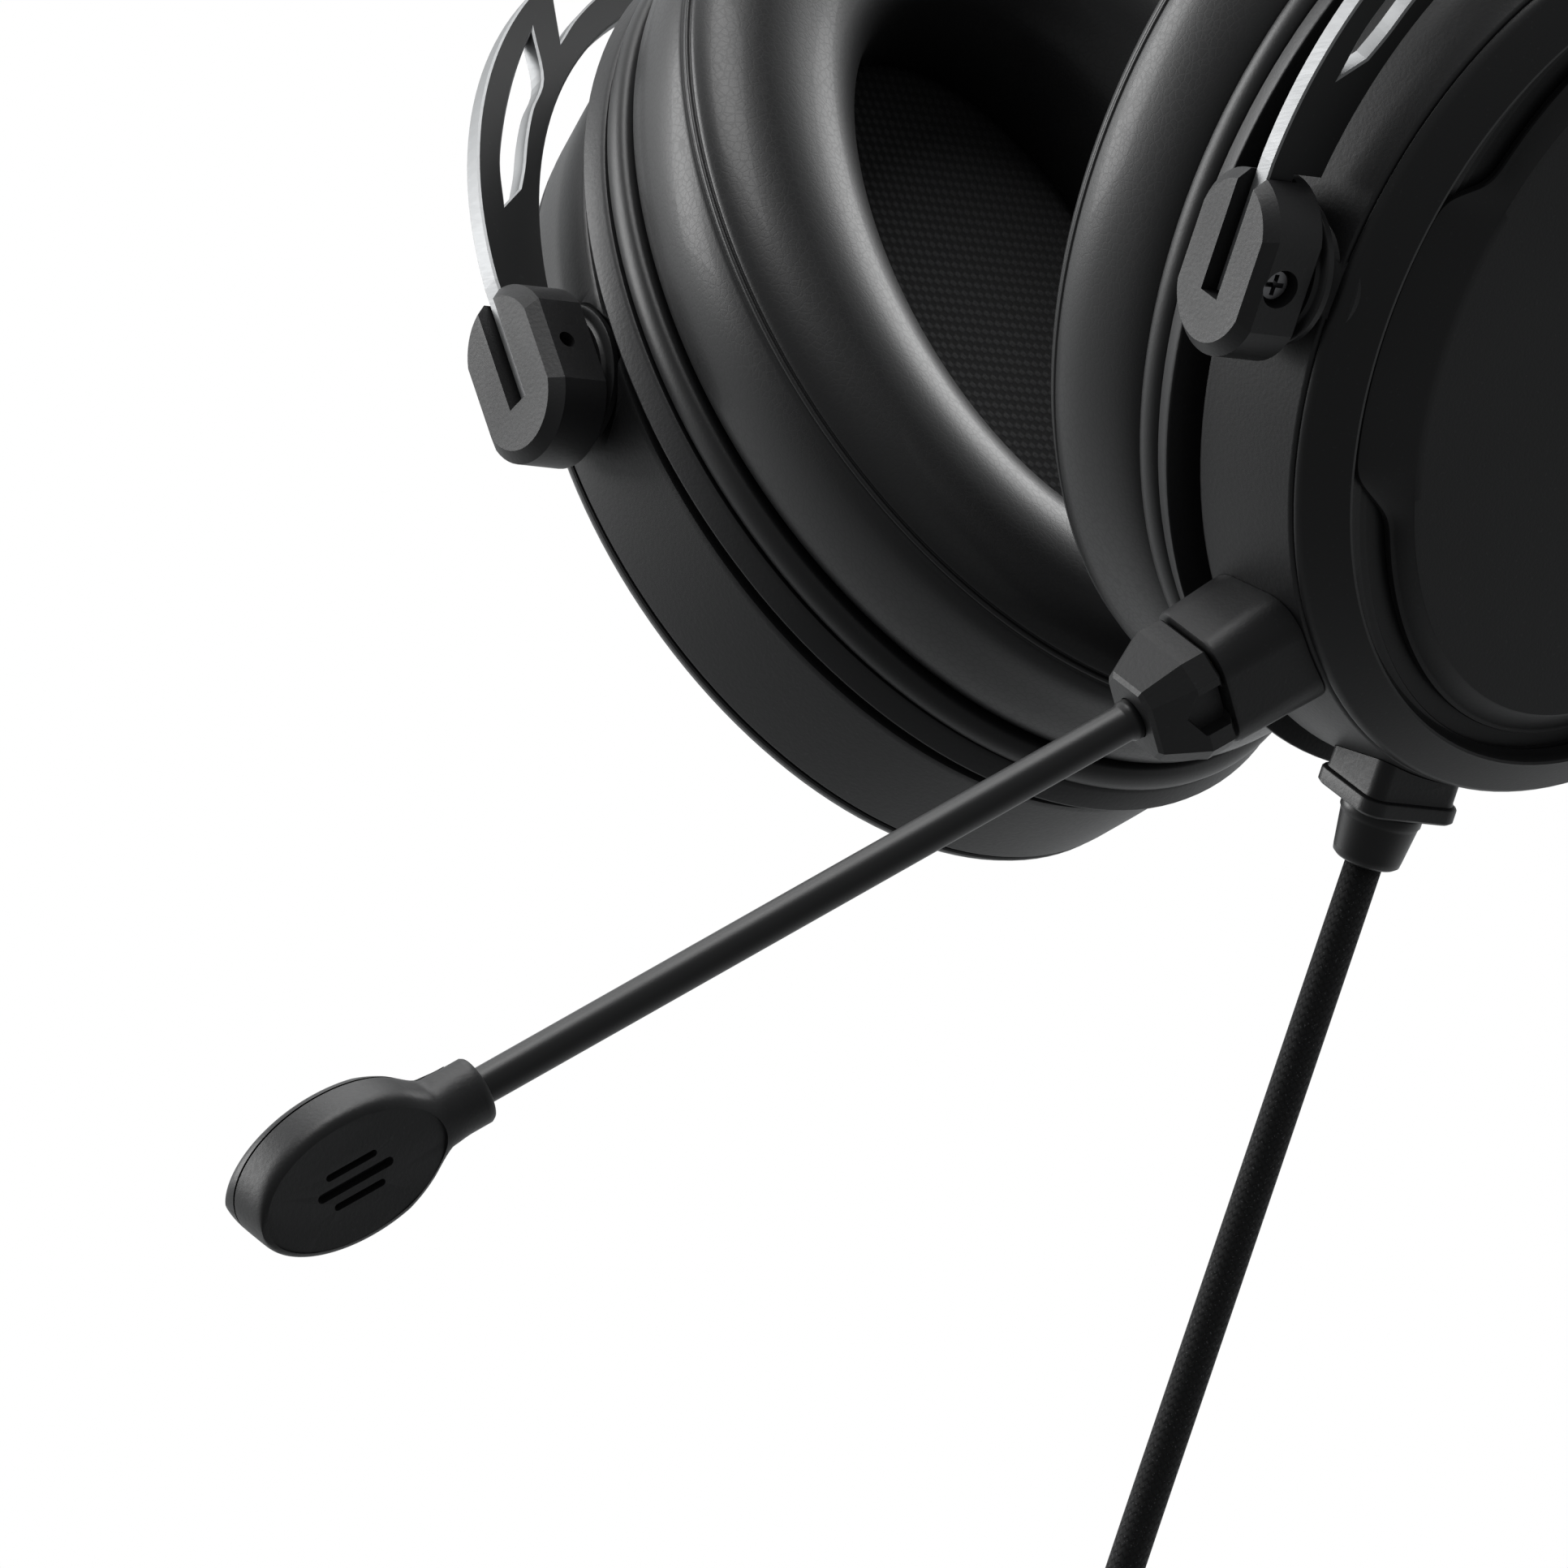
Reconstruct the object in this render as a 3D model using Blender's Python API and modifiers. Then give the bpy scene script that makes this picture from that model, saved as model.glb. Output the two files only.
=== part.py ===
"""Over-ear gaming headset with sliding yokes, tilting cups, a plug-in microphone and a corded lead.

World frame: origin where the headband cushion rests on the head, +Z up, the wearer faces -Y and
the wearer's left is +X. Every size below is in millimetres and turned into metres by MM.
Each side is drawn in its own side frame, with its origin on the cup's tilt pivot:
x outwards (w), y backwards (u points forwards, so y = -u) and z up along the leaning yoke (v).
"""
import math

import bmesh
import bpy
from mathutils import Matrix, Vector

MM = 0.001
GAP = 0.3                       # clearance between neighbouring pieces
SIDES = {"left": 1, "right": -1}
OVAL_STEPS = 32                 # points around a cup
ROUND_STEPS = 12                # points around a screw, pin or boss
DISC_STEPS = 20                 # points around a driver or pivot disc
BAND_STEPS = 8                  # steps along each arc of the headband
COIL_STEPS = 28                 # steps round the cord coil, and around its tube
COIL_TUBE_STEPS = 10
COLLECTION = "gaming_headset"

# Where the cups hang
LEAN = math.radians(29.0)       # lean of the yokes and cups away from upright
PIVOT_X = 61.2                  # from the mid plane to each tilt pivot
OVAL_DROP = 2.1                 # the cup's middle below the pivot

# Cup sections: half width (front to back), half height, at the outer and inner edge of the body
BODY_OUTER = (39.3, 50.3)
BODY_INNER = (41.5, 53.5)
BODY_OUTER_W = 6.3
BODY_INNER_W = -8.0
BODY_WALL = 2.0
BODY_FLOOR = 2.3
COVER_RIM = (39.1, 50.0)        # outline of the outer cover's thin rim
COVER_RIM_T = 1.2
COVER_GAP = 0.4                 # shadow line between the cover and the body
COVER_BEVEL = 4.6               # in from the rim to the recess
COVER_RISE = 2.5                # height of the bevel above the rim
COVER_FLOOR_T = 1.2
PLATE_OVAL = (28.5, 42.5)       # raised middle of the side plate
PLATE_WING_UP = 14.5            # the wings' upper corner above the cup's middle
PLATE_WING_DOWN = 16.5
PLATE_FLARE = 4.0               # how much further each wing edge runs out towards the middle
PLATE_T = 3.4
PLATE_BEVEL = 1.2
FLANGE = (42.8, 55.0)           # baffle flange
FLANGE_W = -10.7
FLANGE_T = 2.9
LIP = (43.0, 55.8)              # bead around the pad's mounting ring
LIP_T = 3.7
PAD_SEAM = (44.0, 57.4)
PAD_SEAM_DEPTH = 14.1           # from the pad's back to its seam
PAD_BULGE = 2.4                 # how far the pad's side swells past its back
PAD_CROWN = 5.6                 # from the seam to the pad's face
PAD_OPENING = (21.0, 34.0)
PAD_FACE_IN = 8.0               # from the opening to the flat of the face
PAD_FACE_OUT = 6.0              # from the seam to the flat of the face
SCRIM = (29.6, 42.6)
SCRIM_T = 0.5
DRIVER_R = 20.0
DRIVER_T = 4.0
MAGNET_R = 9.0
MAGNET_T = 6.0
BOARD = (1.2, 24.0, 14.0)       # thickness, width, height
BOARD_V = -28.0
BOARD_W = 0.5

# Pivot: block on the fork, disc and trunnion on the cup
BLOCK_FRONT = 49.5              # from the mid plane to the block's front face
BLOCK_DEPTH = 6.9
BLOCK_HALF_W = 6.85
BLOCK_HALF_V = 10.0
BLOCK_ARC_R = 7.2
BLOCK_CHAMFER = 1.25
DISC_R = 8.0
DISC_T = 1.7
HUMP_R = 6.1
TRUNNION_R = 3.6
TRUNNION_L = 1.3
SPIGOT_R = 2.4
SPIGOT_L = 3.4
SCREW_HEAD_R = 2.0
SCREW_HEAD_T = 1.4
SCREW_SHANK_R = 0.85
SCREW_RECESS = 1.2              # screw head below the block's side

# Fork: a flat aluminium plate in the pivot plane
FORK_T = 2.4
FORK_OUTER = (48.0, 54.0, 8.0)  # half width, height and centre of the outer oval
FORK_INNER = (41.7, 51.8, 2.0)
FORK_EDGE = 47.9                # outer edge of the arm in the block
TONGUE_W = 3.3
TONGUE_DOWN = 3.5               # the tongue's end below the pivot
STEM_HALF = 8.5
STEM_TOP = 67.5
RIVET_V = 61.3
RIVET_R = 1.5
RIVET_HEAD_R = 2.8
RIVET_HEAD_T = 0.9
# Cut-outs of one fork arm as (forward, up) corners
FORK_WINDOWS = (
    ((43.2, 21.6), (41.9, 27.0), (39.6, 32.3), (36.9, 37.3), (34.1, 41.7), (31.5, 45.2),
     (32.4, 38.9), (35.2, 34.7), (37.3, 30.7), (39.0, 26.8), (40.5, 23.9)),
    ((28.0, 44.4), (27.0, 50.0), (22.4, 54.6), (17.0, 57.6), (11.6, 59.4),
     (12.0, 56.2), (16.2, 54.0), (20.9, 51.0), (25.0, 47.6)),
)

# Slider bar and arm cap
SLIDER_T = 2.0
SLIDER_WIDTH = 15.0
FOOT_V = 57.0                   # lower end of the slider's foot on the fork
NECK_V = 66.0                   # where the slider bends upright
TRAVEL_UP = 12.0
ENGAGED = 16.0                  # length of slider inside the cap at rest
MOUTH_CLEAR = 2.5               # neck to cap mouth when fully retracted
GUIDE_WALL = 1.5
GUIDE_L = 10.0
CAP_X = 12.5
CAP_Y = 30.0
CAP_CORNER = 5.0
CAP_WALL = 2.0                  # between the slider's cavity and the frame's pocket
POCKET_L = 9.0
CAP_SCREW_R = 2.2

# Headband
FRAME_T = 2.5
FRAME_WIDTH = 24.0
COVER_T = 3.0
COVER_WIDTH = 33.0
CUSHION_T = 11.0
CUSHION_WIDTH = 36.0
CUSHION_FROM = math.radians(46.0)
CORNER_R = 38.0
CORNER_TURN = math.radians(60.0)

# Microphone: an axis in the side frame, s measured forwards from the boom's root
MIC_W = -1.0
MIC_ROOT = (40.3, -51.0)        # forward, up
MIC_FALL = math.radians(35.8)   # how far the boom drops below forwards
BOOM_R = 2.0
BOOM_L = 84.0
BOOM_SOCKET = 2.0
CONNECTOR_L = 7.9
CONNECTOR_HALF = (6.4, 6.2)
CONNECTOR_TIP = (4.1, 4.3)
BOSS_HALF = (7.0, 7.0)
BOSS_END_HALF = (6.6, 6.5)
BOSS_DEEP = 24.0                # how far the boss is drawn into the cup before it is trimmed
BOSS_SHIFT = 0.7
JACK_R = 1.75
JACK_IN = 3.0
JACK_OUT = 7.2
HEAD_HALF = (12.0, 8.0)
HEAD_MIDDLE = 98.2
HEAD_T = 7.5
HEAD_PART = 2.0                 # thickness of the inner shell
HEAD_WALL = 1.7
HEAD_FACE_IN = 1.1
NECK_R = 3.7
NECK_START = 81.4
NECK_L = 7.5
CAPSULE_R = 3.0
CAPSULE_CLEAR = 0.8             # above the capsule inside the head
CAPSULE_T = HEAD_T - HEAD_PART - HEAD_WALL - GAP - CAPSULE_CLEAR
SLOT_HALF = (4.0, 0.9)

# Cord
CORD_W = -1.0
CORD_U = 5.1
CORD_R = 2.0
GLAND_HALF = (5.5, 5.0)
GLAND_LIP = 0.6
GLAND_BOTTOM = -57.4
GLAND_LIP_T = 1.8
RELIEF_R = 4.4
RELIEF_END_R = 3.6
RELIEF_L = 6.2
COIL_R = 24.0
COIL_TUBE_R = 7.2
TIE_T = 1.2
TIE_WIDTH = 9.0
TAIL_L = 30.0
PLUG_R = 4.0
PLUG_L = 20.0
PIN_R = 1.75
PIN_L = 14.0
# The cord's route as (x, z) from its root, chosen so that it runs straight and then hangs
CORD_ROUTE = ((0.0, 0.0), (-9.7, -17.5), (-19.4, -35.0), (-29.1, -52.5), (-38.8, -70.0),
              (-45.6, -83.0), (-50.4, -96.5), (-53.0, -110.5), (-53.9, -124.0))

# Derived places
PIVOT_SIN, PIVOT_COS = math.sin(LEAN), math.cos(LEAN)
SLIDER_W = -(FORK_T / 2 + GAP + SLIDER_T / 2)
ARM_X = PIVOT_X + NECK_V * PIVOT_SIN + SLIDER_W * PIVOT_COS
NECK_Z = NECK_V * PIVOT_COS - SLIDER_W * PIVOT_SIN          # above the pivot
MOUTH_Z = NECK_Z + TRAVEL_UP + MOUTH_CLEAR
CAVITY_Z = MOUTH_Z + ENGAGED + TRAVEL_UP + 1.0
POCKET_Z = CAVITY_Z + CAP_WALL
CAP_TOP_Z = POCKET_Z + POCKET_L
CORNER_Z = CAP_TOP_Z - 1.0
TOP_R = CORNER_R + (ARM_X - CORNER_R) / math.cos(CORNER_TURN)
TOP_Z = CORNER_Z + (CORNER_R - TOP_R) * math.sin(CORNER_TURN) + TOP_R
EAR_DROP = TOP_Z - FRAME_T / 2 - GAP - CUSHION_T            # rest point above the pivots
FLANGE_BACK_W = FLANGE_W - FLANGE_T
LIP_W = FLANGE_BACK_W - GAP
PAD_W = LIP_W - LIP_T - GAP
PAD_FACE_W = PAD_W - PAD_SEAM_DEPTH - PAD_CROWN
COVER_W = BODY_OUTER_W + COVER_GAP
PLATE_W = COVER_W + COVER_FLOOR_T + GAP
BLOCK_BACK = BLOCK_FRONT - BLOCK_DEPTH
DISC_BACK = BLOCK_BACK - GAP - DISC_T
HUMP_TOP = DISC_BACK - GAP
SLOT_FLOOR = FORK_EDGE - TONGUE_W - GAP
SCREW_U = FORK_EDGE - TONGUE_W / 2


# ---------------------------------------------------------------- helpers

def clear_scene():
    for item in list(bpy.data.objects):
        bpy.data.objects.remove(item)


def material(name, colour, roughness, metallic=0.0):
    made = bpy.data.materials.new(name)
    made.use_nodes = True
    shader = made.node_tree.nodes["Principled BSDF"]
    shader.inputs["Base Color"].default_value = (*colour, 1.0)
    shader.inputs["Roughness"].default_value = roughness
    shader.inputs["Metallic"].default_value = metallic
    made.diffuse_color = (*colour, 1.0)
    return made


def add_object(name, mesh):
    made = bpy.data.objects.new(name, mesh)
    bpy.data.collections[COLLECTION].objects.link(made)
    return made


def face_out(work):
    """Turn every face of a closed mesh outwards."""
    bmesh.ops.recalc_face_normals(work, faces=work.faces)
    if work.calc_volume(signed=True) < 0:
        bmesh.ops.reverse_faces(work, faces=work.faces)


def bake(item):
    """Replace an object by a plain mesh object of what its modifiers or its curve show."""
    bpy.context.view_layer.update()
    seen = item.evaluated_get(bpy.context.evaluated_depsgraph_get())
    mesh = bpy.data.meshes.new_from_object(seen)
    work = bmesh.new()
    work.from_mesh(mesh)
    bmesh.ops.remove_doubles(work, verts=work.verts, dist=1e-6)
    face_out(work)
    work.to_mesh(mesh)
    work.free()
    name, place = item.name, item.matrix_world.copy()
    bpy.data.objects.remove(item)
    made = add_object(name, mesh)
    made.name = name
    made.matrix_world = place
    return made


def flatten(item):
    """Move an object's placement into its mesh."""
    item.data.transform(item.matrix_world)
    item.matrix_world = Matrix()
    return item


def loft(name, sections, ring=False):
    """A skin over sections with equal numbers of points; its ends are capped unless it is a ring."""
    work = bmesh.new()
    rows = [[work.verts.new(Vector(point) * MM) for point in section] for section in sections]
    pairs = list(zip(rows, rows[1:])) + ([(rows[-1], rows[0])] if ring else [])
    count = len(rows[0])
    for first, second in pairs:
        for i in range(count):
            j = (i + 1) % count
            work.faces.new((first[i], first[j], second[j], second[i]))
    if not ring:
        work.faces.new(rows[0])
        work.faces.new(rows[-1])
    face_out(work)
    mesh = bpy.data.meshes.new(name)
    work.to_mesh(mesh)
    work.free()
    return add_object(name, mesh)


def oval_section(w, half, centre=(0.0, -OVAL_DROP), steps=OVAL_STEPS):
    """An oval in a plane of constant w, as side-frame points."""
    turns = [2 * math.pi * i / steps for i in range(steps)]
    return [(w, -centre[0] - half[0] * math.cos(a), centre[1] + half[1] * math.sin(a)) for a in turns]


def oval_loft(name, rings, ring=False):
    return loft(name, [oval_section(w, half) for w, half in rings], ring)


def grown(half, extra):
    return (half[0] + extra, half[1] + extra)


def turned(name, profile, steps=ROUND_STEPS):
    """A solid of revolution about Z from (radius, height) points that run from top to bottom."""
    work = bmesh.new()
    verts = [work.verts.new((r * MM, 0.0, h * MM)) for r, h in profile]
    for first, second in zip(verts, verts[1:]):
        work.edges.new((first, second))
    mesh = bpy.data.meshes.new(name)
    work.to_mesh(mesh)
    work.free()
    made = add_object(name, mesh)
    screw = made.modifiers.new("turn", "SCREW")
    screw.steps = screw.render_steps = steps
    screw.use_merge_vertices = True
    screw.merge_threshold = 1e-6
    return bake(made)


def turned_along(name, profile, start, direction, steps=ROUND_STEPS):
    """A turned solid whose height runs from start along direction."""
    made = turned(name, profile, steps)
    turn = Vector((0, 0, 1)).rotation_difference(Vector(direction)).to_matrix().to_4x4()
    made.matrix_world = Matrix.Translation(Vector(start) * MM) @ turn
    return flatten(made)


def rod(name, radius, start, direction, length, steps=ROUND_STEPS):
    return turned_along(name, ((0, length), (radius, length), (radius, 0), (0, 0)), start, direction, steps)


def plate(name, outlines, thickness, place):
    """A flat plate from closed 2D outlines, the first its edge and the others its holes."""
    curve = bpy.data.curves.new(name, "CURVE")
    curve.dimensions = "2D"
    curve.fill_mode = "BOTH"
    curve.extrude = thickness / 2 * MM
    for outline in outlines:
        spline = curve.splines.new("POLY")
        spline.points.add(len(outline) - 1)
        spline.use_cyclic_u = True
        for point, (a, b) in zip(spline.points, outline):
            point.co = (a * MM, b * MM, 0.0, 1.0)
    made = bake(add_object(name, curve))
    made.matrix_world = place
    return flatten(made)


def tube(name, points, radius, resolution=2):
    curve = bpy.data.curves.new(name, "CURVE")
    curve.dimensions = "3D"
    curve.bevel_depth = radius * MM
    curve.bevel_resolution = resolution
    curve.use_fill_caps = True
    spline = curve.splines.new("POLY")
    spline.points.add(len(points) - 1)
    for point, place in zip(spline.points, points):
        point.co = (*(Vector(place) * MM), 1.0)
    return bake(add_object(name, curve))


def box(name, size, centre):
    work = bmesh.new()
    bmesh.ops.create_cube(work, size=1.0)
    bmesh.ops.scale(work, vec=Vector(size) * MM, verts=work.verts)
    bmesh.ops.translate(work, vec=Vector(centre) * MM, verts=work.verts)
    mesh = bpy.data.meshes.new(name)
    work.to_mesh(mesh)
    work.free()
    return add_object(name, mesh)


def combine(item, others, operation):
    for other in others:
        step = item.modifiers.new(operation.lower(), "BOOLEAN")
        step.operation = operation
        step.solver = "EXACT"
        step.object = other
        other.hide_render = True
        other.display_type = "WIRE"
        bpy.data.collections[COLLECTION].objects.unlink(other)
        bpy.data.collections["cutters"].objects.link(other)
    made = bake(item)
    for other in others:
        bpy.data.objects.remove(other)
    return made


def cut(item, *cutters):
    return combine(item, cutters, "DIFFERENCE")


def join(item, *others):
    return combine(item, others, "UNION")


def bevelled(item, width, segments=1, angle=50.0):
    step = item.modifiers.new("bevel", "BEVEL")
    step.width = width * MM
    step.segments = segments
    step.limit_method = "ANGLE"
    step.angle_limit = math.radians(angle)
    return bake(item)


def finish(item, look, parent, side=1):
    """Mirror a side piece for the right side, give it its material and hang it on its joint empty."""
    if side < 0:
        item.data.transform(Matrix.Scale(-1.0, 4, (1, 0, 0)))
        item.data.flip_normals()
    item.data.materials.clear()
    item.data.materials.append(look)
    item.data.shade_smooth()
    item.data.set_sharp_from_angle(angle=math.radians(32.0))
    item.parent = parent
    return item


def rest_in(item, parent):
    """Hang a piece that was drawn in world coordinates on an empty without moving it."""
    bpy.context.view_layer.update()
    item.parent = parent
    item.matrix_parent_inverse = parent.matrix_world.inverted()


def empty(name, place, lean=0.0, parent=None):
    made = bpy.data.objects.new(name, None)
    bpy.data.collections[COLLECTION].objects.link(made)
    made.location = Vector(place) * MM
    made.rotation_euler = (0.0, lean, 0.0)
    made.empty_display_size = 0.01
    made.parent = parent
    return made


def rounded_box_outline(half_a, half_b, corner, steps=4):
    points = []
    for quarter, (sa, sb) in enumerate(((1, 1), (-1, 1), (-1, -1), (1, -1))):
        for i in range(steps + 1):
            turn = math.pi / 2 * (quarter + i / steps)
            points.append((sa * (half_a - corner) + corner * math.cos(turn),
                           sb * (half_b - corner) + corner * math.sin(turn)))
    return points


def body_half(w):
    """Half width and height of the cup body's outside at a given w."""
    share = (w - BODY_OUTER_W) / (BODY_INNER_W - BODY_OUTER_W)
    return tuple(o + (i - o) * share for o, i in zip(BODY_OUTER, BODY_INNER))


def body_envelope(name):
    """The cup body as a solid, a clearance larger, to trim what seats on its side."""
    top, bottom = BODY_OUTER_W + 4, BODY_INNER_W - 2
    rings = [(w, grown(body_half(w), GAP)) for w in (top, bottom)]
    return loft(name, [oval_section(w, half, steps=2 * OVAL_STEPS) for w, half in rings])


# ---------------------------------------------------------------- headband

def band_half(offset, turn_from, foot=None, steps=BAND_STEPS):
    """Points up the left half of the band, offset outwards from its centre line."""
    points = [] if foot is None else [(ARM_X + offset, foot)]
    centre_x = ARM_X - CORNER_R
    for i in range(steps + 1):
        turn = turn_from + (CORNER_TURN - turn_from) * i / steps
        reach = CORNER_R + offset
        points.append((centre_x + reach * math.cos(turn), CORNER_Z + reach * math.sin(turn)))
    top_z = TOP_Z - TOP_R
    for i in range(1, steps + 1):
        turn = CORNER_TURN + (math.pi / 2 - CORNER_TURN) * i / steps
        reach = TOP_R + offset
        points.append((reach * math.cos(turn), top_z + reach * math.sin(turn)))
    return points


def band_strip(name, inner, outer, width, turn_from, foot=None):
    """A strip that follows the band between two offsets."""
    sides = []
    for offset in (outer, inner):
        half = band_half(offset, turn_from, foot)
        other = [(-x, z) for x, z in reversed(half[:-1])]
        sides.append(half + other)
    outline = [(x, z - EAR_DROP) for x, z in sides[0] + sides[1][::-1]]
    return plate(name, [outline], width, Matrix.Rotation(math.pi / 2, 4, "X"))


def make_headband(looks, root):
    half_t = FRAME_T / 2
    screw_z = POCKET_Z + POCKET_L / 2 - EAR_DROP
    holes = [rod(f"frame_hole_{side}", SCREW_SHANK_R + GAP, (sign * (ARM_X - CAP_X), 0, screw_z),
                 (sign, 0, 0), 2 * CAP_X) for side, sign in SIDES.items()]
    frame = band_strip("headband_frame", -half_t, half_t, FRAME_WIDTH, 0.0, POCKET_Z + GAP)
    finish(cut(frame, *holes), looks["steel"], root)
    inside = half_t + GAP
    cover = band_strip("headband_cover", inside, inside + COVER_T, COVER_WIDTH, 0.0, CAP_TOP_Z + GAP)
    finish(bevelled(cover, 1.0), looks["plastic"], root)
    cushion = band_strip("headband_cushion", -inside - CUSHION_T, -inside, CUSHION_WIDTH, CUSHION_FROM)
    finish(bevelled(cushion, 3.0, 2), looks["leather"], root)
    for side, sign in SIDES.items():
        make_arm_cap(side, sign, looks, root, screw_z)


def make_arm_cap(side, sign, looks, root, screw_z):
    """The hollow cap at one end of the band, its slider guide and its screw."""
    height = CAP_TOP_Z - MOUTH_Z
    middle = (CAP_TOP_Z + MOUTH_Z) / 2 - EAR_DROP
    place = Matrix.Translation(Vector((ARM_X, 0, middle)) * MM)
    edge = rounded_box_outline(CAP_X / 2, CAP_Y / 2, CAP_CORNER)
    cap = plate(f"arm_cap_{side}", [edge], height, place)
    cap = bevelled(cap, 0.8)
    hollow_x = SLIDER_T + 2 * (GAP + GUIDE_WALL + GAP)
    hollow_y = SLIDER_WIDTH + 2 * (GAP + GUIDE_WALL + GAP)
    hollow_h = CAVITY_Z - MOUTH_Z + 1.0
    hollow = box("hollow", (hollow_x, hollow_y, hollow_h), (ARM_X, 0, CAVITY_Z - EAR_DROP - hollow_h / 2))
    pocket = box("pocket", (FRAME_T + 2 * GAP, FRAME_WIDTH + 2 * GAP, POCKET_L + 1.0),
                 (ARM_X, 0, POCKET_Z - EAR_DROP + (POCKET_L + 1.0) / 2))
    shank_hole = rod("shank_hole", SCREW_SHANK_R + GAP, (ARM_X - CAP_X, 0, screw_z), (1, 0, 0),
                     CAP_X + CAP_X / 2 - 1.5)
    head_hole = rod("head_hole", CAP_SCREW_R + GAP, (ARM_X - CAP_X, 0, screw_z), (1, 0, 0),
                    CAP_X / 2 + SCREW_HEAD_T + GAP)
    finish(cut(cap, hollow, pocket, shank_hole, head_hole), looks["plastic"], root, sign)
    guide_hole = rounded_box_outline(SLIDER_T / 2 + GAP, SLIDER_WIDTH / 2 + GAP, 0.4, 1)
    guide_edge = rounded_box_outline(hollow_x / 2 - GAP, hollow_y / 2 - GAP, 0.6, 1)
    guide_z = MOUTH_Z + GUIDE_L / 2 - EAR_DROP
    guide = plate(f"slider_guide_{side}", [guide_edge, guide_hole], GUIDE_L,
                  Matrix.Translation(Vector((ARM_X, 0, guide_z)) * MM))
    finish(guide, looks["nylon"], root, sign)
    head_x = ARM_X - CAP_X / 2
    profile = ((0, SCREW_HEAD_T + CAP_X / 2 + 1.5), (SCREW_SHANK_R, SCREW_HEAD_T + CAP_X / 2 + 1.5),
               (SCREW_SHANK_R, SCREW_HEAD_T), (CAP_SCREW_R, SCREW_HEAD_T), (CAP_SCREW_R, 0), (0, 0))
    screw = turned_along(f"cap_screw_{side}", profile, (head_x, 0, screw_z), (1, 0, 0))
    finish(screw, looks["steel"], root, sign)


# ---------------------------------------------------------------- yoke

def fork_outline():
    """Outer and inner edge of the fork plate, as (forward, up) points of one closed loop."""
    half, height, centre = FORK_OUTER
    start = math.acos(FORK_EDGE / half)
    end = math.acos(STEM_HALF / half)
    steps = 12
    outer = [(half * math.cos(start + (end - start) * i / steps),
              centre + height * math.sin(start + (end - start) * i / steps)) for i in range(steps + 1)]
    half, height, centre = FORK_INNER
    shoulder = BLOCK_HALF_V + GAP + 0.2
    start = math.asin((shoulder - centre) / height)
    inner = [(half * math.cos(start + (math.pi / 2 - start) * i / steps),
              centre + height * math.sin(start + (math.pi / 2 - start) * i / steps))
             for i in range(steps + 1)]
    tongue_in = FORK_EDGE - TONGUE_W
    front = [(tongue_in, shoulder), (tongue_in, -TONGUE_DOWN), (FORK_EDGE, -TONGUE_DOWN)]
    arm = inner[::-1] + front + outer + [(STEM_HALF, STEM_TOP)]
    return arm + [(-u, v) for u, v in arm[::-1] if abs(u) > 0.01]


def side_plane():
    """Places a plate drawn as (forward, up) in the side frame's w = 0 plane."""
    return Matrix(((0, 0, 1, 0), (-1, 0, 0, 0), (0, 1, 0, 0), (0, 0, 0, 1)))


def make_yoke(side, sign, looks, yoke):
    windows = [list(points) for points in FORK_WINDOWS]
    windows += [[(-u, v) for u, v in points] for points in FORK_WINDOWS]
    fork = plate(f"yoke_fork_{side}", [fork_outline()] + windows, FORK_T, side_plane())
    rivet_hole = rod("rivet_hole", RIVET_R + GAP, (-10, 0, RIVET_V), (1, 0, 0), 20)
    screw_holes = [rod("screw_hole", SCREW_SHANK_R + GAP, (-10, -end * SCREW_U, 0), (1, 0, 0), 20)
                   for end in (1, -1)]
    finish(cut(fork, rivet_hole, *screw_holes), looks["aluminium"], yoke, sign)
    make_slider(side, sign, looks, yoke)
    for end_name, end in (("front", 1), ("rear", -1)):
        make_pivot_block(f"{end_name}_{side}", end, sign, looks, yoke)


def make_slider(side, sign, looks, yoke):
    """A strip with a leaning foot on the fork and an upright bar in the arm cap."""
    up = (-PIVOT_SIN, PIVOT_COS)                # world up in the side frame, as (w, v)
    bar_l = MOUTH_Z + ENGAGED - NECK_Z
    half = SLIDER_T / 2
    miter = half * math.tan(LEAN / 2)
    top = (SLIDER_W + bar_l * up[0], NECK_V + bar_l * up[1])
    across = (PIVOT_COS * half, PIVOT_SIN * half)
    outline = [(SLIDER_W + half, FOOT_V), (SLIDER_W + half, NECK_V + miter),
               (top[0] + across[0], top[1] + across[1]), (top[0] - across[0], top[1] - across[1]),
               (SLIDER_W - half, NECK_V - miter), (SLIDER_W - half, FOOT_V)]
    strip = plate(f"slider_bar_{side}", [outline], SLIDER_WIDTH, Matrix.Rotation(math.pi / 2, 4, "X"))
    rivet_hole = rod("rivet_hole", RIVET_R + GAP, (-10, 0, RIVET_V), (1, 0, 0), 20)
    finish(cut(strip, rivet_hole), looks["steel"], yoke, sign)
    outer_w = FORK_T / 2 + GAP
    inner_w = SLIDER_W - half - GAP
    span = outer_w - inner_w
    profile = ((0, RIVET_HEAD_T + span), (RIVET_HEAD_R, RIVET_HEAD_T + span), (RIVET_HEAD_R, span),
               (RIVET_R, span), (RIVET_R, 0), (RIVET_HEAD_R, 0), (RIVET_HEAD_R, -RIVET_HEAD_T),
               (0, -RIVET_HEAD_T))
    rivet = turned_along(f"fork_rivet_{side}", profile, (inner_w, 0, RIVET_V), (1, 0, 0))
    finish(rivet, looks["steel"], yoke, sign)


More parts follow.
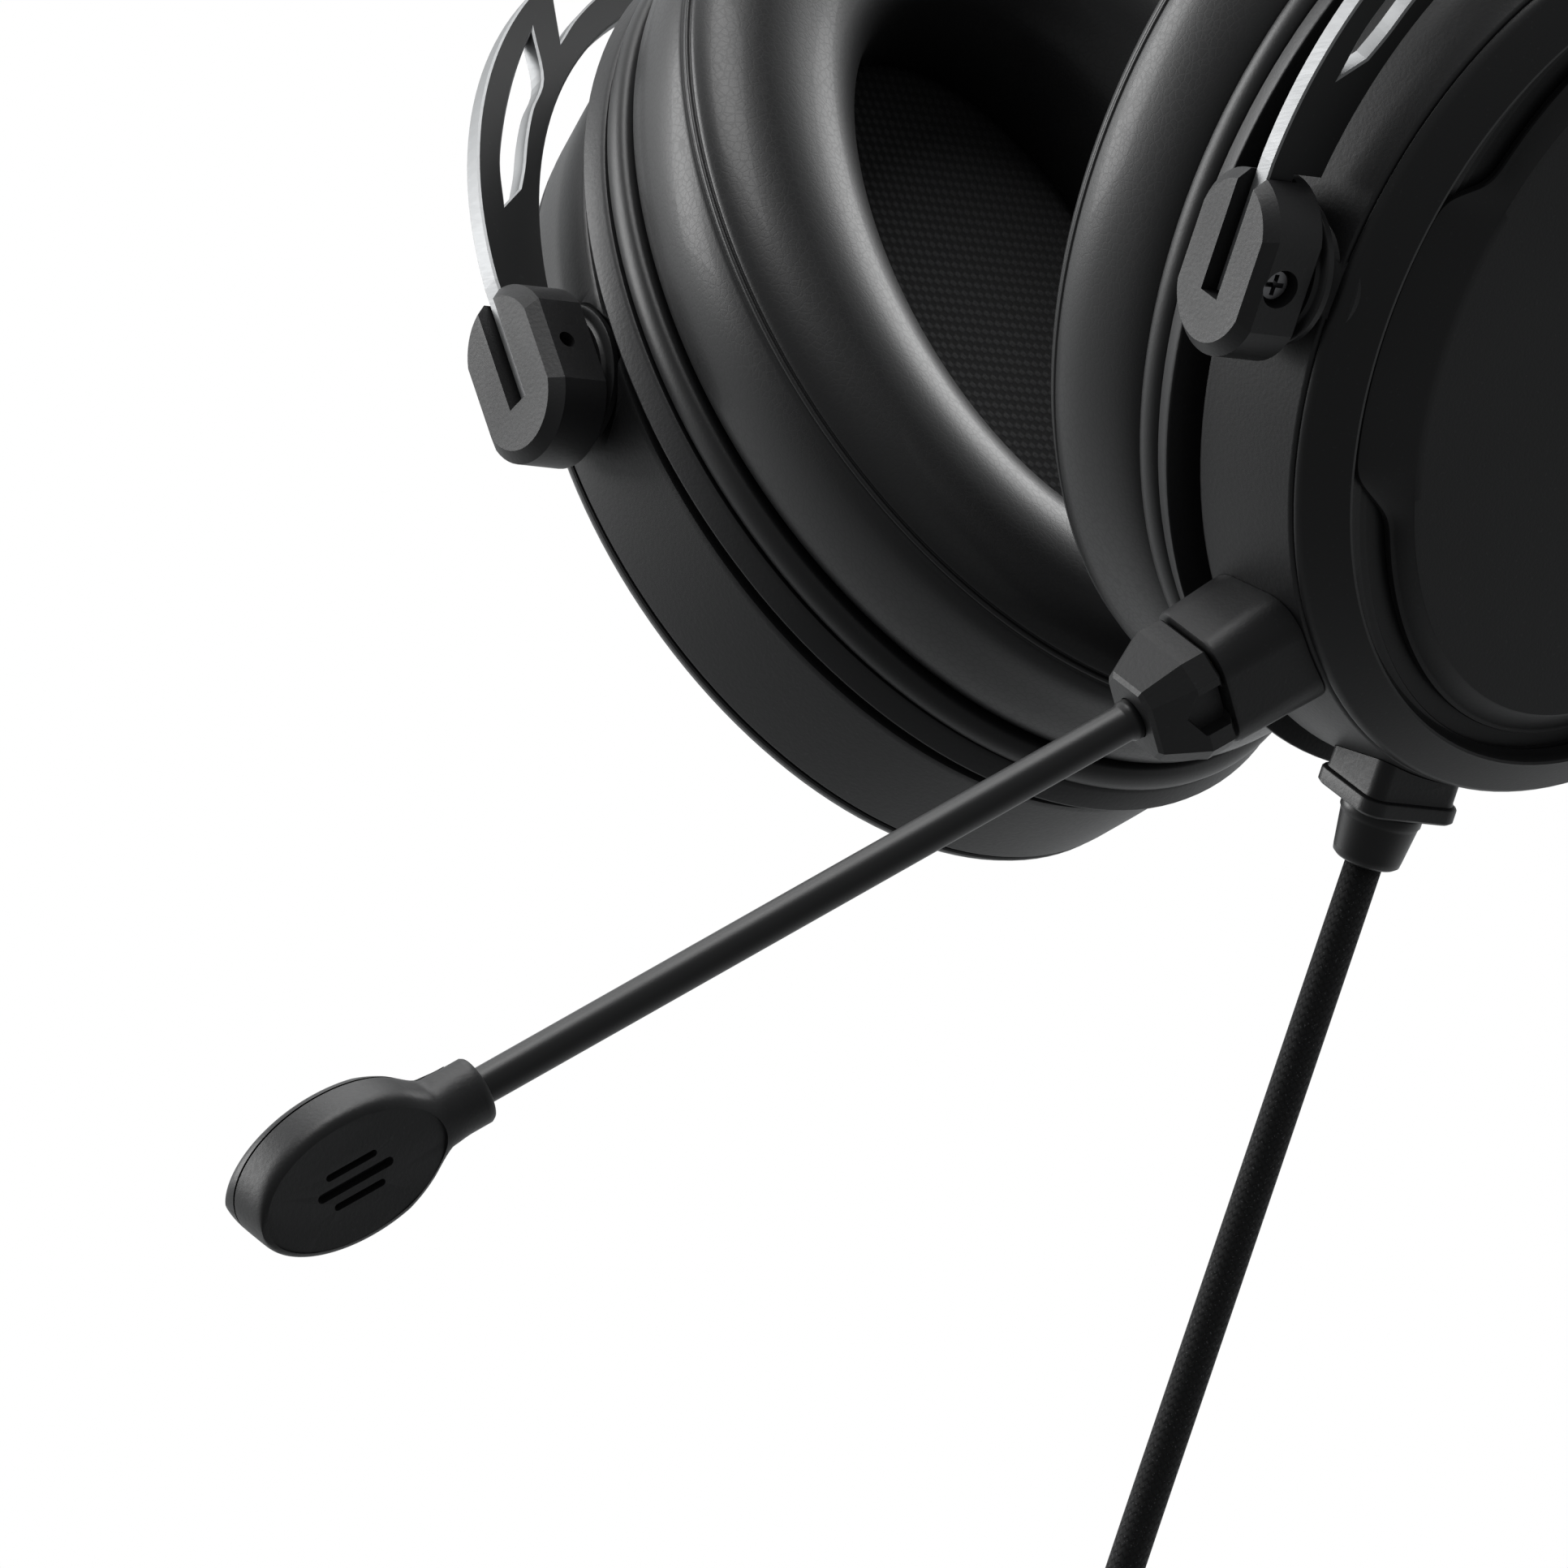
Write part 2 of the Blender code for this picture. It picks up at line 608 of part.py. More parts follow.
def block_section(u, shrink_w, shrink_v, steps=5):
    """The block's outline, straight sides with arched ends, at one depth."""
    half_turn = math.asin(BLOCK_HALF_W / BLOCK_ARC_R)
    centre = BLOCK_HALF_V - BLOCK_ARC_R
    points = []
    for flip in (1, -1):
        for i in range(steps + 1):
            turn = half_turn * (2 * i / steps - 1) * flip
            w = BLOCK_ARC_R * math.sin(turn)
            v = flip * (centre + BLOCK_ARC_R * math.cos(turn))
            points.append((w * shrink_w, -u, v * shrink_v))
    return points


def make_pivot_block(name, end, sign, looks, yoke):
    """The block that grips the fork's tongue, and the screw through both."""
    shrink_w = 1 - BLOCK_CHAMFER / BLOCK_HALF_W
    shrink_v = 1 - BLOCK_CHAMFER / BLOCK_HALF_V
    sections = [block_section(end * BLOCK_BACK, 1, 1),
                block_section(end * (BLOCK_FRONT - BLOCK_CHAMFER), 1, 1),
                block_section(end * BLOCK_FRONT, shrink_w, shrink_v)]
    block = loft(f"pivot_block_{name}", sections)
    slot_low = -TONGUE_DOWN - GAP
    slot_high = BLOCK_HALF_V + 1
    slot_depth = BLOCK_FRONT + 1 - SLOT_FLOOR
    slot = box("slot", (FORK_T + 2 * GAP, slot_depth, slot_high - slot_low),
               (0, -end * (SLOT_FLOOR + slot_depth / 2), (slot_high + slot_low) / 2))
    socket = rod("socket", TRUNNION_R + GAP, (0, -end * (BLOCK_BACK - 1), 0), (0, -end, 0),
                 1 + TRUNNION_L)
    side_w = BLOCK_HALF_W
    head_w = side_w - SCREW_RECESS - SCREW_HEAD_T
    tip_w = -side_w + 1.5
    screw_y = -end * SCREW_U
    head_hole = rod("head_hole", SCREW_HEAD_R + GAP, (head_w - GAP, screw_y, 0), (1, 0, 0), 5)
    shank_hole = rod("shank_hole", SCREW_SHANK_R + GAP, (tip_w - GAP, screw_y, 0), (1, 0, 0), 10)
    finish(cut(block, slot, socket, head_hole, shank_hole), looks["plastic"], yoke, sign)
    shank = head_w - tip_w
    profile = ((0, shank + SCREW_HEAD_T), (SCREW_HEAD_R, shank + SCREW_HEAD_T), (SCREW_HEAD_R, shank),
               (SCREW_SHANK_R, shank), (SCREW_SHANK_R, 0), (0, 0))
    screw = turned_along(f"block_screw_{name}", profile, (tip_w, screw_y, 0), (1, 0, 0))
    finish(screw, looks["steel"], yoke, sign)


# ---------------------------------------------------------------- cup

def make_cup(side, sign, looks, cup):
    make_body_shell(side, sign, looks, cup)
    make_outer_cover(side, sign, looks, cup)
    make_side_plate(side, sign, looks, cup)
    make_baffle(side, sign, looks, cup)
    make_pad(side, sign, looks, cup)
    for end_name, end in (("front", 1), ("rear", -1)):
        profile = ((0, DISC_T + TRUNNION_L), (TRUNNION_R, DISC_T + TRUNNION_L), (TRUNNION_R, DISC_T),
                   (DISC_R, DISC_T), (DISC_R, 0), (SPIGOT_R, 0), (SPIGOT_R, -SPIGOT_L), (0, -SPIGOT_L))
        disc = turned_along(f"pivot_disc_{end_name}_{side}", profile, (0, -end * DISC_BACK, 0),
                            (0, -end, 0), DISC_STEPS)
        finish(disc, looks["plastic"], cup, sign)


def make_body_shell(side, sign, looks, cup):
    """The drafted shell, open towards the head, with a hump, a seat and a hole at each pivot."""
    floor_w = BODY_OUTER_W - BODY_FLOOR
    rings = [(BODY_OUTER_W, BODY_OUTER), (BODY_INNER_W, BODY_INNER),
             (BODY_INNER_W, grown(BODY_INNER, -BODY_WALL)),
             (floor_w, grown(body_half(floor_w), -BODY_WALL))]
    shell = oval_loft(f"body_shell_{side}", rings)
    root = BODY_OUTER[0] - BODY_WALL + 0.6
    humps = [rod("hump", HUMP_R, (0, -end * root, 0), (0, -end, 0), HUMP_TOP - root) for end in (1, -1)]
    shell = join(shell, *humps)
    holes = [rod("spigot_hole", SPIGOT_R + GAP, (0, -end * (root - 4), 0), (0, -end, 0), 10)
             for end in (1, -1)]
    holes += [rod("disc_seat", DISC_R + GAP, (0, -end * HUMP_TOP, 0), (0, -end, 0), 5, DISC_STEPS)
              for end in (1, -1)]
    if side == "left":
        low = -OVAL_DROP - body_half(CORD_W)[1] - 1
        holes.append(rod("cord_hole", CORD_R + GAP, (CORD_W, -CORD_U, low), (0, 0, 1), 5))
    finish(cut(shell, *holes), looks["plastic"], cup, sign)


def make_outer_cover(side, sign, looks, cup):
    """A thin rim, a bevel up to a crest, and the recessed floor that carries the side plate."""
    crest_w = COVER_W + COVER_RIM_T + COVER_RISE
    floor_w = COVER_W + COVER_FLOOR_T
    crest = grown(COVER_RIM, -COVER_BEVEL)
    rings = [(COVER_W, COVER_RIM), (COVER_W + COVER_RIM_T, COVER_RIM), (crest_w, crest),
             (crest_w - 0.5, grown(crest, -0.7)), (floor_w, grown(crest, -0.9))]
    finish(oval_loft(f"outer_cover_{side}", rings), looks["plastic"], cup, sign)


def wing_outline():
    """The side plate: an oval middle with a wing on each side that reaches the cover's recess."""
    middle = PLATE_OVAL
    reach = grown(COVER_RIM, -COVER_BEVEL - 0.9 - GAP)

    def on_oval(half, height):
        return half[0] * math.sqrt(1 - (height / half[1]) ** 2)

    upper, lower = PLATE_WING_UP, -PLATE_WING_DOWN
    root_up, root_low = upper + PLATE_FLARE * 0.6, lower - PLATE_FLARE
    steps = 8
    quarter = []
    start = math.asin(root_up / middle[1])
    for i in range(steps):
        turn = math.pi / 2 - (math.pi / 2 - start) * i / steps
        quarter.append((middle[0] * math.cos(turn), middle[1] * math.sin(turn)))
    quarter.append((on_oval(middle, root_up), root_up))
    for i in range(steps + 1):
        height = upper + (lower - upper) * i / steps
        quarter.append((on_oval(reach, height), height))
    quarter.append((on_oval(middle, root_low), root_low))
    start = math.asin(root_low / middle[1])
    for i in range(1, steps + 1):
        turn = start + (-math.pi / 2 - start) * i / steps
        quarter.append((middle[0] * math.cos(turn), middle[1] * math.sin(turn)))
    return quarter + [(-u, v) for u, v in quarter[-2:0:-1]]


def make_side_plate(side, sign, looks, cup):
    outline = [(u, v - OVAL_DROP) for u, v in wing_outline()]
    place = Matrix.Translation(Vector((PLATE_W + PLATE_T / 2, 0, 0)) * MM) @ side_plane()
    panel = plate(f"side_plate_{side}", [outline], PLATE_T, place)
    finish(bevelled(panel, PLATE_BEVEL, 1, 60.0), looks["plastic"], cup, sign)


def make_baffle(side, sign, looks, cup):
    """The flange on the head side, with a locating lip in the shell and the driver in its hole."""
    lip = grown(BODY_INNER, -BODY_WALL - GAP - 0.2)
    back_w = FLANGE_BACK_W
    rings = [(back_w, grown(FLANGE, 0.1)), (FLANGE_W, FLANGE), (FLANGE_W, lip),
             (BODY_INNER_W + 1.5, grown(lip, -0.3))]
    baffle = oval_loft(f"baffle_{side}", rings)
    hole = rod("driver_hole", DRIVER_R + GAP, (BODY_INNER_W + 3, 0, -OVAL_DROP), (-1, 0, 0), 10,
               DISC_STEPS)
    finish(cut(baffle, hole), looks["plastic"], cup, sign)
    profile = ((0, DRIVER_T + MAGNET_T), (MAGNET_R, DRIVER_T + MAGNET_T), (MAGNET_R, DRIVER_T),
               (DRIVER_R, DRIVER_T), (DRIVER_R, 0), (0, 0))
    driver = turned_along(f"driver_{side}", profile, (back_w + 0.2, 0, -OVAL_DROP), (1, 0, 0),
                          DISC_STEPS)
    finish(driver, looks["steel"], cup, sign)


def make_pad(side, sign, looks, cup):
    """The pad's mounting ring with its bead, the woven scrim and the padded ring itself."""
    lip_end = LIP_W - LIP_T
    opening = grown(SCRIM, GAP)
    ring = [(LIP_W, grown(LIP, -0.9)), (LIP_W - LIP_T / 2, LIP), (lip_end, grown(LIP, -0.9)),
            (lip_end, opening), (LIP_W, opening)]
    finish(oval_loft(f"pad_ring_{side}", ring, ring=True), looks["plastic"], cup, sign)
    scrim_w = lip_end + 0.4
    scrim = oval_loft(f"scrim_{side}", [(scrim_w + SCRIM_T, SCRIM), (scrim_w, SCRIM)])
    finish(scrim, looks["weave"], cup, sign)
    back = grown(LIP, -1.2)
    seam_w = PAD_W - PAD_SEAM_DEPTH
    middle_w = (PAD_W + seam_w) / 2
    face_out = grown(PAD_SEAM, -PAD_FACE_OUT)
    face_in = grown(PAD_OPENING, PAD_FACE_IN)
    pad = [(PAD_W, back), (PAD_W - 3, grown(back, PAD_BULGE)), (middle_w - 2, grown(back, PAD_BULGE)),
           (seam_w, PAD_SEAM), (seam_w - PAD_CROWN * 0.7, grown(PAD_SEAM, -2.4)), (PAD_FACE_W, face_out),
           (PAD_FACE_W, face_in), (PAD_FACE_W + 1.6, grown(PAD_OPENING, 3.2)),
           (PAD_FACE_W + 5.5, grown(PAD_OPENING, 0.5)), (PAD_W - 5, PAD_OPENING), (PAD_W, PAD_OPENING)]
    finish(oval_loft(f"ear_pad_{side}", pad, ring=True), looks["leather"], cup, sign)


# ---------------------------------------------------------------- microphone and its boss

def mic_point(s, n, w=0.0):
    """Side-frame point at s along the boom, n across it in the cup's plane and w outwards."""
    u = MIC_ROOT[0] + s * math.cos(MIC_FALL) + n * math.sin(MIC_FALL)
    v = MIC_ROOT[1] - s * math.sin(MIC_FALL) + n * math.cos(MIC_FALL)
    return (MIC_W + w, -u, v)


def mic_direction():
    return (0.0, -math.cos(MIC_FALL), -math.sin(MIC_FALL))


def mic_section(s, half, corner, shift=0.0):
    outline = rounded_box_outline(half[0], half[1], corner, 2)
    return [mic_point(s, n + shift, w) for w, n in outline]


def make_mic_boss(looks, cup):
    """The socket housing that grows out of the cup body's lower front."""
    end = -CONNECTOR_L - GAP
    sections = [mic_section(-BOSS_DEEP, BOSS_HALF, 2.5, BOSS_SHIFT),
                mic_section(end, BOSS_END_HALF, 2.0, 0.3)]
    boss = loft("mic_boss", sections)
    bore = rod("bore", JACK_R + GAP, mic_point(end - JACK_OUT - GAP, 0), mic_direction(), JACK_OUT + 5)
    finish(cut(boss, body_envelope("envelope"), bore), looks["plastic"], cup)


def make_microphone(looks, mic):
    sections = [mic_section(-CONNECTOR_L, CONNECTOR_HALF, 1.6),
                mic_section(-CONNECTOR_L * 0.45, CONNECTOR_HALF, 1.6),
                mic_section(0.0, CONNECTOR_TIP, 1.2)]
    connector = loft("mic_connector", sections)
    jack_bore = rod("jack_bore", JACK_R + GAP, mic_point(-CONNECTOR_L - 1, 0), mic_direction(),
                    1 + JACK_IN + GAP)
    boom_bore = rod("boom_bore", BOOM_R + GAP, mic_point(-BOOM_SOCKET - GAP, 0), mic_direction(),
                    BOOM_SOCKET + GAP + 1)
    finish(cut(connector, jack_bore, boom_bore), looks["plastic"], mic)
    jack_l = JACK_IN + GAP + JACK_OUT
    profile = ((0, jack_l), (JACK_R, jack_l), (JACK_R, 2.2), (JACK_R * 0.65, 1.5), (JACK_R * 0.9, 0.9),
               (0.4, 0), (0, 0))
    jack = turned_along("mic_jack", profile, mic_point(-CONNECTOR_L - GAP - JACK_OUT, 0), mic_direction())
    finish(jack, looks["brass"], mic)
    boom = tube("mic_boom", [mic_point(-BOOM_SOCKET, 0), mic_point(BOOM_L, 0)], BOOM_R, 4)
    finish(boom, looks["rubber"], mic)
    make_mic_head(looks, mic)


def head_section(w, half, steps=24):
    turns = [2 * math.pi * i / steps for i in range(steps)]
    return [mic_point(HEAD_MIDDLE + half[0] * math.cos(a), half[1] * math.sin(a), w) for a in turns]


def make_mic_head(looks, mic):
    """Two shells parted near the inner face, a neck on the boom and a capsule between them."""
    face_w, back_w = HEAD_T / 2, -HEAD_T / 2
    part_w = back_w + HEAD_PART
    shell = loft("mic_head_outer", [head_section(part_w + GAP, HEAD_HALF),
                                    head_section(face_w - 1.6, HEAD_HALF),
                                    head_section(face_w, grown(HEAD_HALF, -HEAD_FACE_IN))])
    neck = rod("neck", NECK_R, mic_point(NECK_START, 0), mic_direction(), NECK_L)
    shell = join(shell, neck)
    cavity_half = grown(HEAD_HALF, -HEAD_WALL)
    cavity = loft("cavity", [head_section(part_w - 1, cavity_half),
                             head_section(face_w - HEAD_WALL, cavity_half)])
    boom_bore = rod("boom_bore", BOOM_R + GAP, mic_point(NECK_START - 1, 0), mic_direction(),
                    BOOM_L + GAP - NECK_START + 1)
    slot_edge = rounded_box_outline(*SLOT_HALF, 0.8, 2)
    slot = loft("slot", [[mic_point(HEAD_MIDDLE + a, b, w) for a, b in slot_edge]
                         for w in (0.0, face_w + 1)])
    finish(cut(shell, cavity, boom_bore, slot), looks["plastic"], mic)
    inner = loft("mic_head_inner", [head_section(back_w, grown(HEAD_HALF, -HEAD_FACE_IN)),
                                    head_section(back_w + 0.9, HEAD_HALF), head_section(part_w, HEAD_HALF)])
    neck_room = rod("neck_room", NECK_R + GAP, mic_point(NECK_START, 0), mic_direction(), NECK_L + GAP)
    finish(cut(inner, neck_room), looks["plastic"], mic)
    capsule_seat = mic_point(HEAD_MIDDLE + 1.5, 0, part_w + GAP)
    capsule = rod("mic_capsule", CAPSULE_R, capsule_seat, (1, 0, 0), CAPSULE_T)
    finish(capsule, looks["steel"], mic)


# ---------------------------------------------------------------- cord

def gland_section(v, extra=0.0):
    outline = rounded_box_outline(GLAND_HALF[1] + extra, GLAND_HALF[0] + extra, 1.5, 2)
    return [(CORD_W + w, -CORD_U + y, v) for w, y in outline]


def make_cord(looks, cup):
    """Collar, strain relief, cord, coil, tie, tail and plug; the cord starts under the relief."""
    lip_v = GLAND_BOTTOM + GLAND_LIP_T
    body_low = -OVAL_DROP - body_half(CORD_W)[1]
    gland = loft("cord_gland", [gland_section(body_low + 4), gland_section(lip_v),
                                gland_section(lip_v, GLAND_LIP), gland_section(GLAND_BOTTOM, GLAND_LIP)])
    finish(cut(gland, body_envelope("envelope")), looks["plastic"], cup)
    relief_top = GLAND_BOTTOM - GAP
    relief_end = relief_top - RELIEF_L
    profile = ((0, RELIEF_L), (RELIEF_R, RELIEF_L), (RELIEF_R, RELIEF_L - 1.5), (RELIEF_END_R, 0), (0, 0))
    relief = turned_along("strain_relief", profile, (CORD_W, -CORD_U, relief_end), (0, 0, 1))
    finish(relief, looks["rubber"], cup)
    root_v = relief_end - GAP
    root = (PIVOT_X + CORD_W * PIVOT_COS + root_v * PIVOT_SIN,
            -EAR_DROP - CORD_W * PIVOT_SIN + root_v * PIVOT_COS)
    route = smooth([(root[0] + x, -CORD_U, root[1] + z) for x, z in CORD_ROUTE], 3)
    cord = tube("cord", route, CORD_R)
    finish(cord, looks["braid"], None)
    rest_in(cord, cup)
    end = route[-1]
    reach = COIL_R + COIL_TUBE_R + GAP + 0.1
    meet = math.sqrt(reach ** 2 - (COIL_R - CORD_R) ** 2)
    centre = (end[0] + COIL_R, end[1], end[2] - meet)
    make_coil(centre, meet, looks, cup)


def smooth(points, parts):
    """Points along a smooth curve through the given ones, with so many parts to a stretch."""
    places = [Vector(p) for p in points]
    padded = [2 * places[0] - places[1]] + places + [2 * places[-1] - places[-2]]
    result = []
    for before, first, second, after in zip(padded, padded[1:], padded[2:], padded[3:]):
        for i in range(parts):
            t = i / parts
            result.append(0.5 * (2 * first + (second - before) * t
                                 + (2 * before - 5 * first + 4 * second - after) * t ** 2
                                 + (3 * first - before - 3 * second + after) * t ** 3))
    return [tuple(p) for p in result] + [tuple(places[-1])]


def make_coil(centre, meet, looks, cup):
    """The ring of spare cord with its tie, the tail that leaves it and the plug."""
    tube_r = COIL_TUBE_R
    rings = []
    for i in range(COIL_STEPS):
        turn = 2 * math.pi * i / COIL_STEPS
        across = (math.cos(turn), math.sin(turn))
        rings.append([(centre[0] + (COIL_R + tube_r * math.cos(b)) * across[0],
                       centre[1] + tube_r * math.sin(b),
                       centre[2] + (COIL_R + tube_r * math.cos(b)) * across[1])
                      for b in (2 * math.pi * k / COIL_TUBE_STEPS for k in range(COIL_TUBE_STEPS))])
    coil = loft("cord_coil", rings, ring=True)
    finish(coil, looks["braid"], None)
    rest_in(coil, cup)
    inner_r = COIL_R - tube_r
    bow = inner_r - math.sqrt(inner_r ** 2 - (TIE_WIDTH / 2) ** 2)
    tie_r = tube_r + GAP + bow
    profile = ((tie_r, TIE_WIDTH / 2), (tie_r + TIE_T, TIE_WIDTH / 2), (tie_r + TIE_T, -TIE_WIDTH / 2),
               (tie_r, -TIE_WIDTH / 2), (tie_r, TIE_WIDTH / 2))
    tie = turned_along("coil_tie", profile, (centre[0], centre[1], centre[2] + COIL_R), (1, 0, 0))
    finish(tie, looks["rubber"], None)
    rest_in(tie, cup)
    tail_x = centre[0] - COIL_R                 # it leaves on the side where the cord comes in
    tail_top = centre[2] - meet
    points = [(tail_x, centre[1], tail_top - TAIL_L * i / 6) for i in range(7)]
    tail = tube("cord_tail", points, CORD_R)
    finish(tail, looks["braid"], None)
    rest_in(tail, cup)
    plug_top = tail_top - TAIL_L - GAP
    profile = ((0, 0), (2.6, 0), (2.6, -4), (PLUG_R, -5), (PLUG_R, -PLUG_L), (0, -PLUG_L))
    plug = turned_along("plug_body", profile, (tail_x, centre[1], plug_top), (0, 0, 1))
    finish(plug, looks["plastic"], None)
    rest_in(plug, cup)
    pin_top = plug_top - PLUG_L - GAP
    profile = ((0, 0), (PIN_R, 0), (PIN_R, -PIN_L + 2.6), (PIN_R * 0.7, -PIN_L + 1.8),
               (PIN_R * 0.9, -PIN_L + 0.9), (0.5, -PIN_L), (0, -PIN_L))
    pin = turned_along("plug_pin", profile, (tail_x, centre[1], pin_top), (0, 0, 1))
    finish(pin, looks["brass"], None)
    rest_in(pin, cup)


def make_board(looks, cup):
    board = box("audio_board", BOARD, (BOARD_W, 0, BOARD_V))
    finish(board, looks["board"], cup)


# ---------------------------------------------------------------- assembly

def main():
    clear_scene()
    for name in (COLLECTION, "cutters"):
        made = bpy.data.collections.new(name)
        bpy.context.scene.collection.children.link(made)
    looks = {
        "plastic": material("matte_black_plastic", (0.035, 0.035, 0.036), 0.55),
        "nylon": material("black_nylon", (0.02, 0.02, 0.02), 0.6),
        "leather": material("black_leatherette", (0.03, 0.03, 0.031), 0.42),
        "weave": material("black_woven_scrim", (0.02, 0.02, 0.021), 0.9),
        "braid": material("black_braid", (0.018, 0.018, 0.019), 0.8),
        "rubber": material("black_rubber", (0.025, 0.025, 0.026), 0.5),
        "aluminium": material("bare_aluminium", (0.8, 0.8, 0.81), 0.3, 1.0),
        "steel": material("dark_steel", (0.25, 0.25, 0.26), 0.4, 1.0),
        "brass": material("plated_brass", (0.75, 0.6, 0.3), 0.25, 1.0),
        "board": material("circuit_board", (0.02, 0.12, 0.05), 0.5),
    }
    root = empty("headband", (0, 0, 0))
    make_headband(looks, root)
    for side, sign in SIDES.items():
        place = (sign * PIVOT_X, 0, -EAR_DROP)
        yoke = empty(f"yoke_{side}", place, sign * LEAN, root)
        make_yoke(side, sign, looks, yoke)
        cup = empty(f"cup_{side}", (0, 0, 0), 0.0, yoke)
        make_cup(side, sign, looks, cup)
        if side == "left":
            make_mic_boss(looks, cup)
            make_board(looks, cup)
            make_cord(looks, cup)
            make_microphone(looks, empty("microphone", (0, 0, 0), 0.0, cup))


main()
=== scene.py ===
import math

import bmesh
import bpy
import numpy as np
from mathutils import Matrix, Vector


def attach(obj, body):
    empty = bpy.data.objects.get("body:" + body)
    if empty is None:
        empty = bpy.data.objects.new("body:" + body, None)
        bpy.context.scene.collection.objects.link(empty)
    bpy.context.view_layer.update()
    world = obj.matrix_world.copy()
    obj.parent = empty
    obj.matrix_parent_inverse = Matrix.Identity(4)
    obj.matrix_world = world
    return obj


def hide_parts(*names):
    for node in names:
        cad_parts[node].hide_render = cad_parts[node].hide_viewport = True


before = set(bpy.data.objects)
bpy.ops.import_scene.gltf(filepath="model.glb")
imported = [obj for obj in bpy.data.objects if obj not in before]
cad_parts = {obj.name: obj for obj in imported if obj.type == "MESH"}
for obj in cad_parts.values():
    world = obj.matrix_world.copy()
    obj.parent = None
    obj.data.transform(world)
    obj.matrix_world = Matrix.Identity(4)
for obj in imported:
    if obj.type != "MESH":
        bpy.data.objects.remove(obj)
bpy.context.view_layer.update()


def placed(name, data):
    """A new object in the scene that holds the given mesh, curve, lamp or camera."""
    made = bpy.data.objects.new(name, data)
    bpy.context.scene.collection.objects.link(made)
    return made


# Camera: a long lens four metres off and a little under the cups, so that the near cup, the far pad and the
# boom are drawn almost without perspective.
CAMERA_PLACE = Vector((3.1126, -2.3921, -0.6626))
CAMERA_BACK = Vector((0.79453, -0.59570, -0.11770)).normalized()
CAMERA_ROLL = math.radians(0.8)
LENS_MM, SENSOR_MM = 870.6, 36.0

camera_data = bpy.data.cameras.new("camera")
camera_data.lens, camera_data.sensor_width = LENS_MM, SENSOR_MM
camera_data.clip_start, camera_data.clip_end = 0.5, 20.0
camera = placed("camera", camera_data)
level = Vector((0, 0, 1)).cross(CAMERA_BACK).normalized()
upright = CAMERA_BACK.cross(level)
rolled = level * math.cos(CAMERA_ROLL) + upright * math.sin(CAMERA_ROLL)
lifted = upright * math.cos(CAMERA_ROLL) - level * math.sin(CAMERA_ROLL)
camera.matrix_world = Matrix((rolled, lifted, CAMERA_BACK)).transposed().to_4x4()
camera.matrix_world.translation = CAMERA_PLACE
bpy.context.scene.camera = camera
# Colours shown as they are, so that the white backdrop stays white
bpy.context.scene.view_settings.view_transform = "Standard"

# Studio: a pale floor well under the hanging lead, a surround that the camera sees as white, and four soft
# boxes: at the wearer's right, above, behind, and high in front. The near cup's outer faces stay dark in it.
FLOOR_Z = -0.90
FLOOR_HALF = 6.0
# (name, place, aimed at, size, power)
SOFT_BOXES = (
    ("box_right", (-2.1, -1.7, 0.9), (0.0, 0.0, -0.2), (1.2, 1.6), 40.0),
    ("box_above", (-0.5, 0.1, 2.1), (0.0, 0.0, -0.1), (1.6, 1.6), 16.0),
    ("box_behind", (-0.2, 1.8, 1.3), (0.0, 0.0, -0.15), (1.1, 1.1), 16.0),
    ("box_high_front", (0.5, -0.9, 2.3), (0.0, 0.0, -0.15), (1.3, 1.3), 30.0),
)
FRONT_LIGHT, SURROUND_LIGHT = 0.21, 0.80       # of the room before and behind the headset
LOW_LIGHT = 0.70                                # share of it that comes from below
BACK_SPAN = (0.35, -0.55)                       # towards the camera, from surround to front light
LOW_SPAN = (-0.45, 0.15)                        # upwards, where low light turns to full
SURROUND_TINT, FLOOR_TINT = (0.97, 0.99, 1.0, 1.0), (0.78, 0.78, 0.77, 1.0)

room = bpy.data.worlds.new("room")
bpy.context.scene.world = room
room.use_nodes = True
room_nodes, room_links = room.node_tree.nodes, room.node_tree.links
room_nodes.clear()
seen = room_nodes.new("ShaderNodeLightPath")
white = room_nodes.new("ShaderNodeBackground")
dim = room_nodes.new("ShaderNodeBackground")
white.inputs["Color"].default_value = (1.0, 1.0, 1.0, 1.0)
white.inputs["Strength"].default_value = 1.0
dim.inputs["Color"].default_value = SURROUND_TINT
way = room_nodes.new("ShaderNodeTexCoord")
shares = []
for face_way, (low, high), (least, most) in (
        (CAMERA_BACK, BACK_SPAN, (FRONT_LIGHT, SURROUND_LIGHT)),
        ((0.0, 0.0, 1.0), LOW_SPAN, (LOW_LIGHT, 1.0))):
    facing = room_nodes.new("ShaderNodeVectorMath")
    facing.operation = "DOT_PRODUCT"
    facing.inputs[1].default_value = face_way
    ramp = room_nodes.new("ShaderNodeMapRange")
    ramp.interpolation_type = "SMOOTHSTEP"
    for number, value in zip((1, 2, 3, 4), (low, high, least, most)):
        ramp.inputs[number].default_value = value
    room_links.new(way.outputs["Generated"], facing.inputs[0])
    room_links.new(facing.outputs["Value"], ramp.inputs[0])
    shares.append(ramp)
both = room_nodes.new("ShaderNodeMath")
both.operation = "MULTIPLY"
room_links.new(shares[0].outputs[0], both.inputs[0])
room_links.new(shares[1].outputs[0], both.inputs[1])
room_links.new(both.outputs[0], dim.inputs["Strength"])
either = room_nodes.new("ShaderNodeMixShader")
room_out = room_nodes.new("ShaderNodeOutputWorld")
room_links.new(seen.outputs["Is Camera Ray"], either.inputs["Fac"])
room_links.new(dim.outputs[0], either.inputs[1])
room_links.new(white.outputs[0], either.inputs[2])
room_links.new(either.outputs[0], room_out.inputs["Surface"])
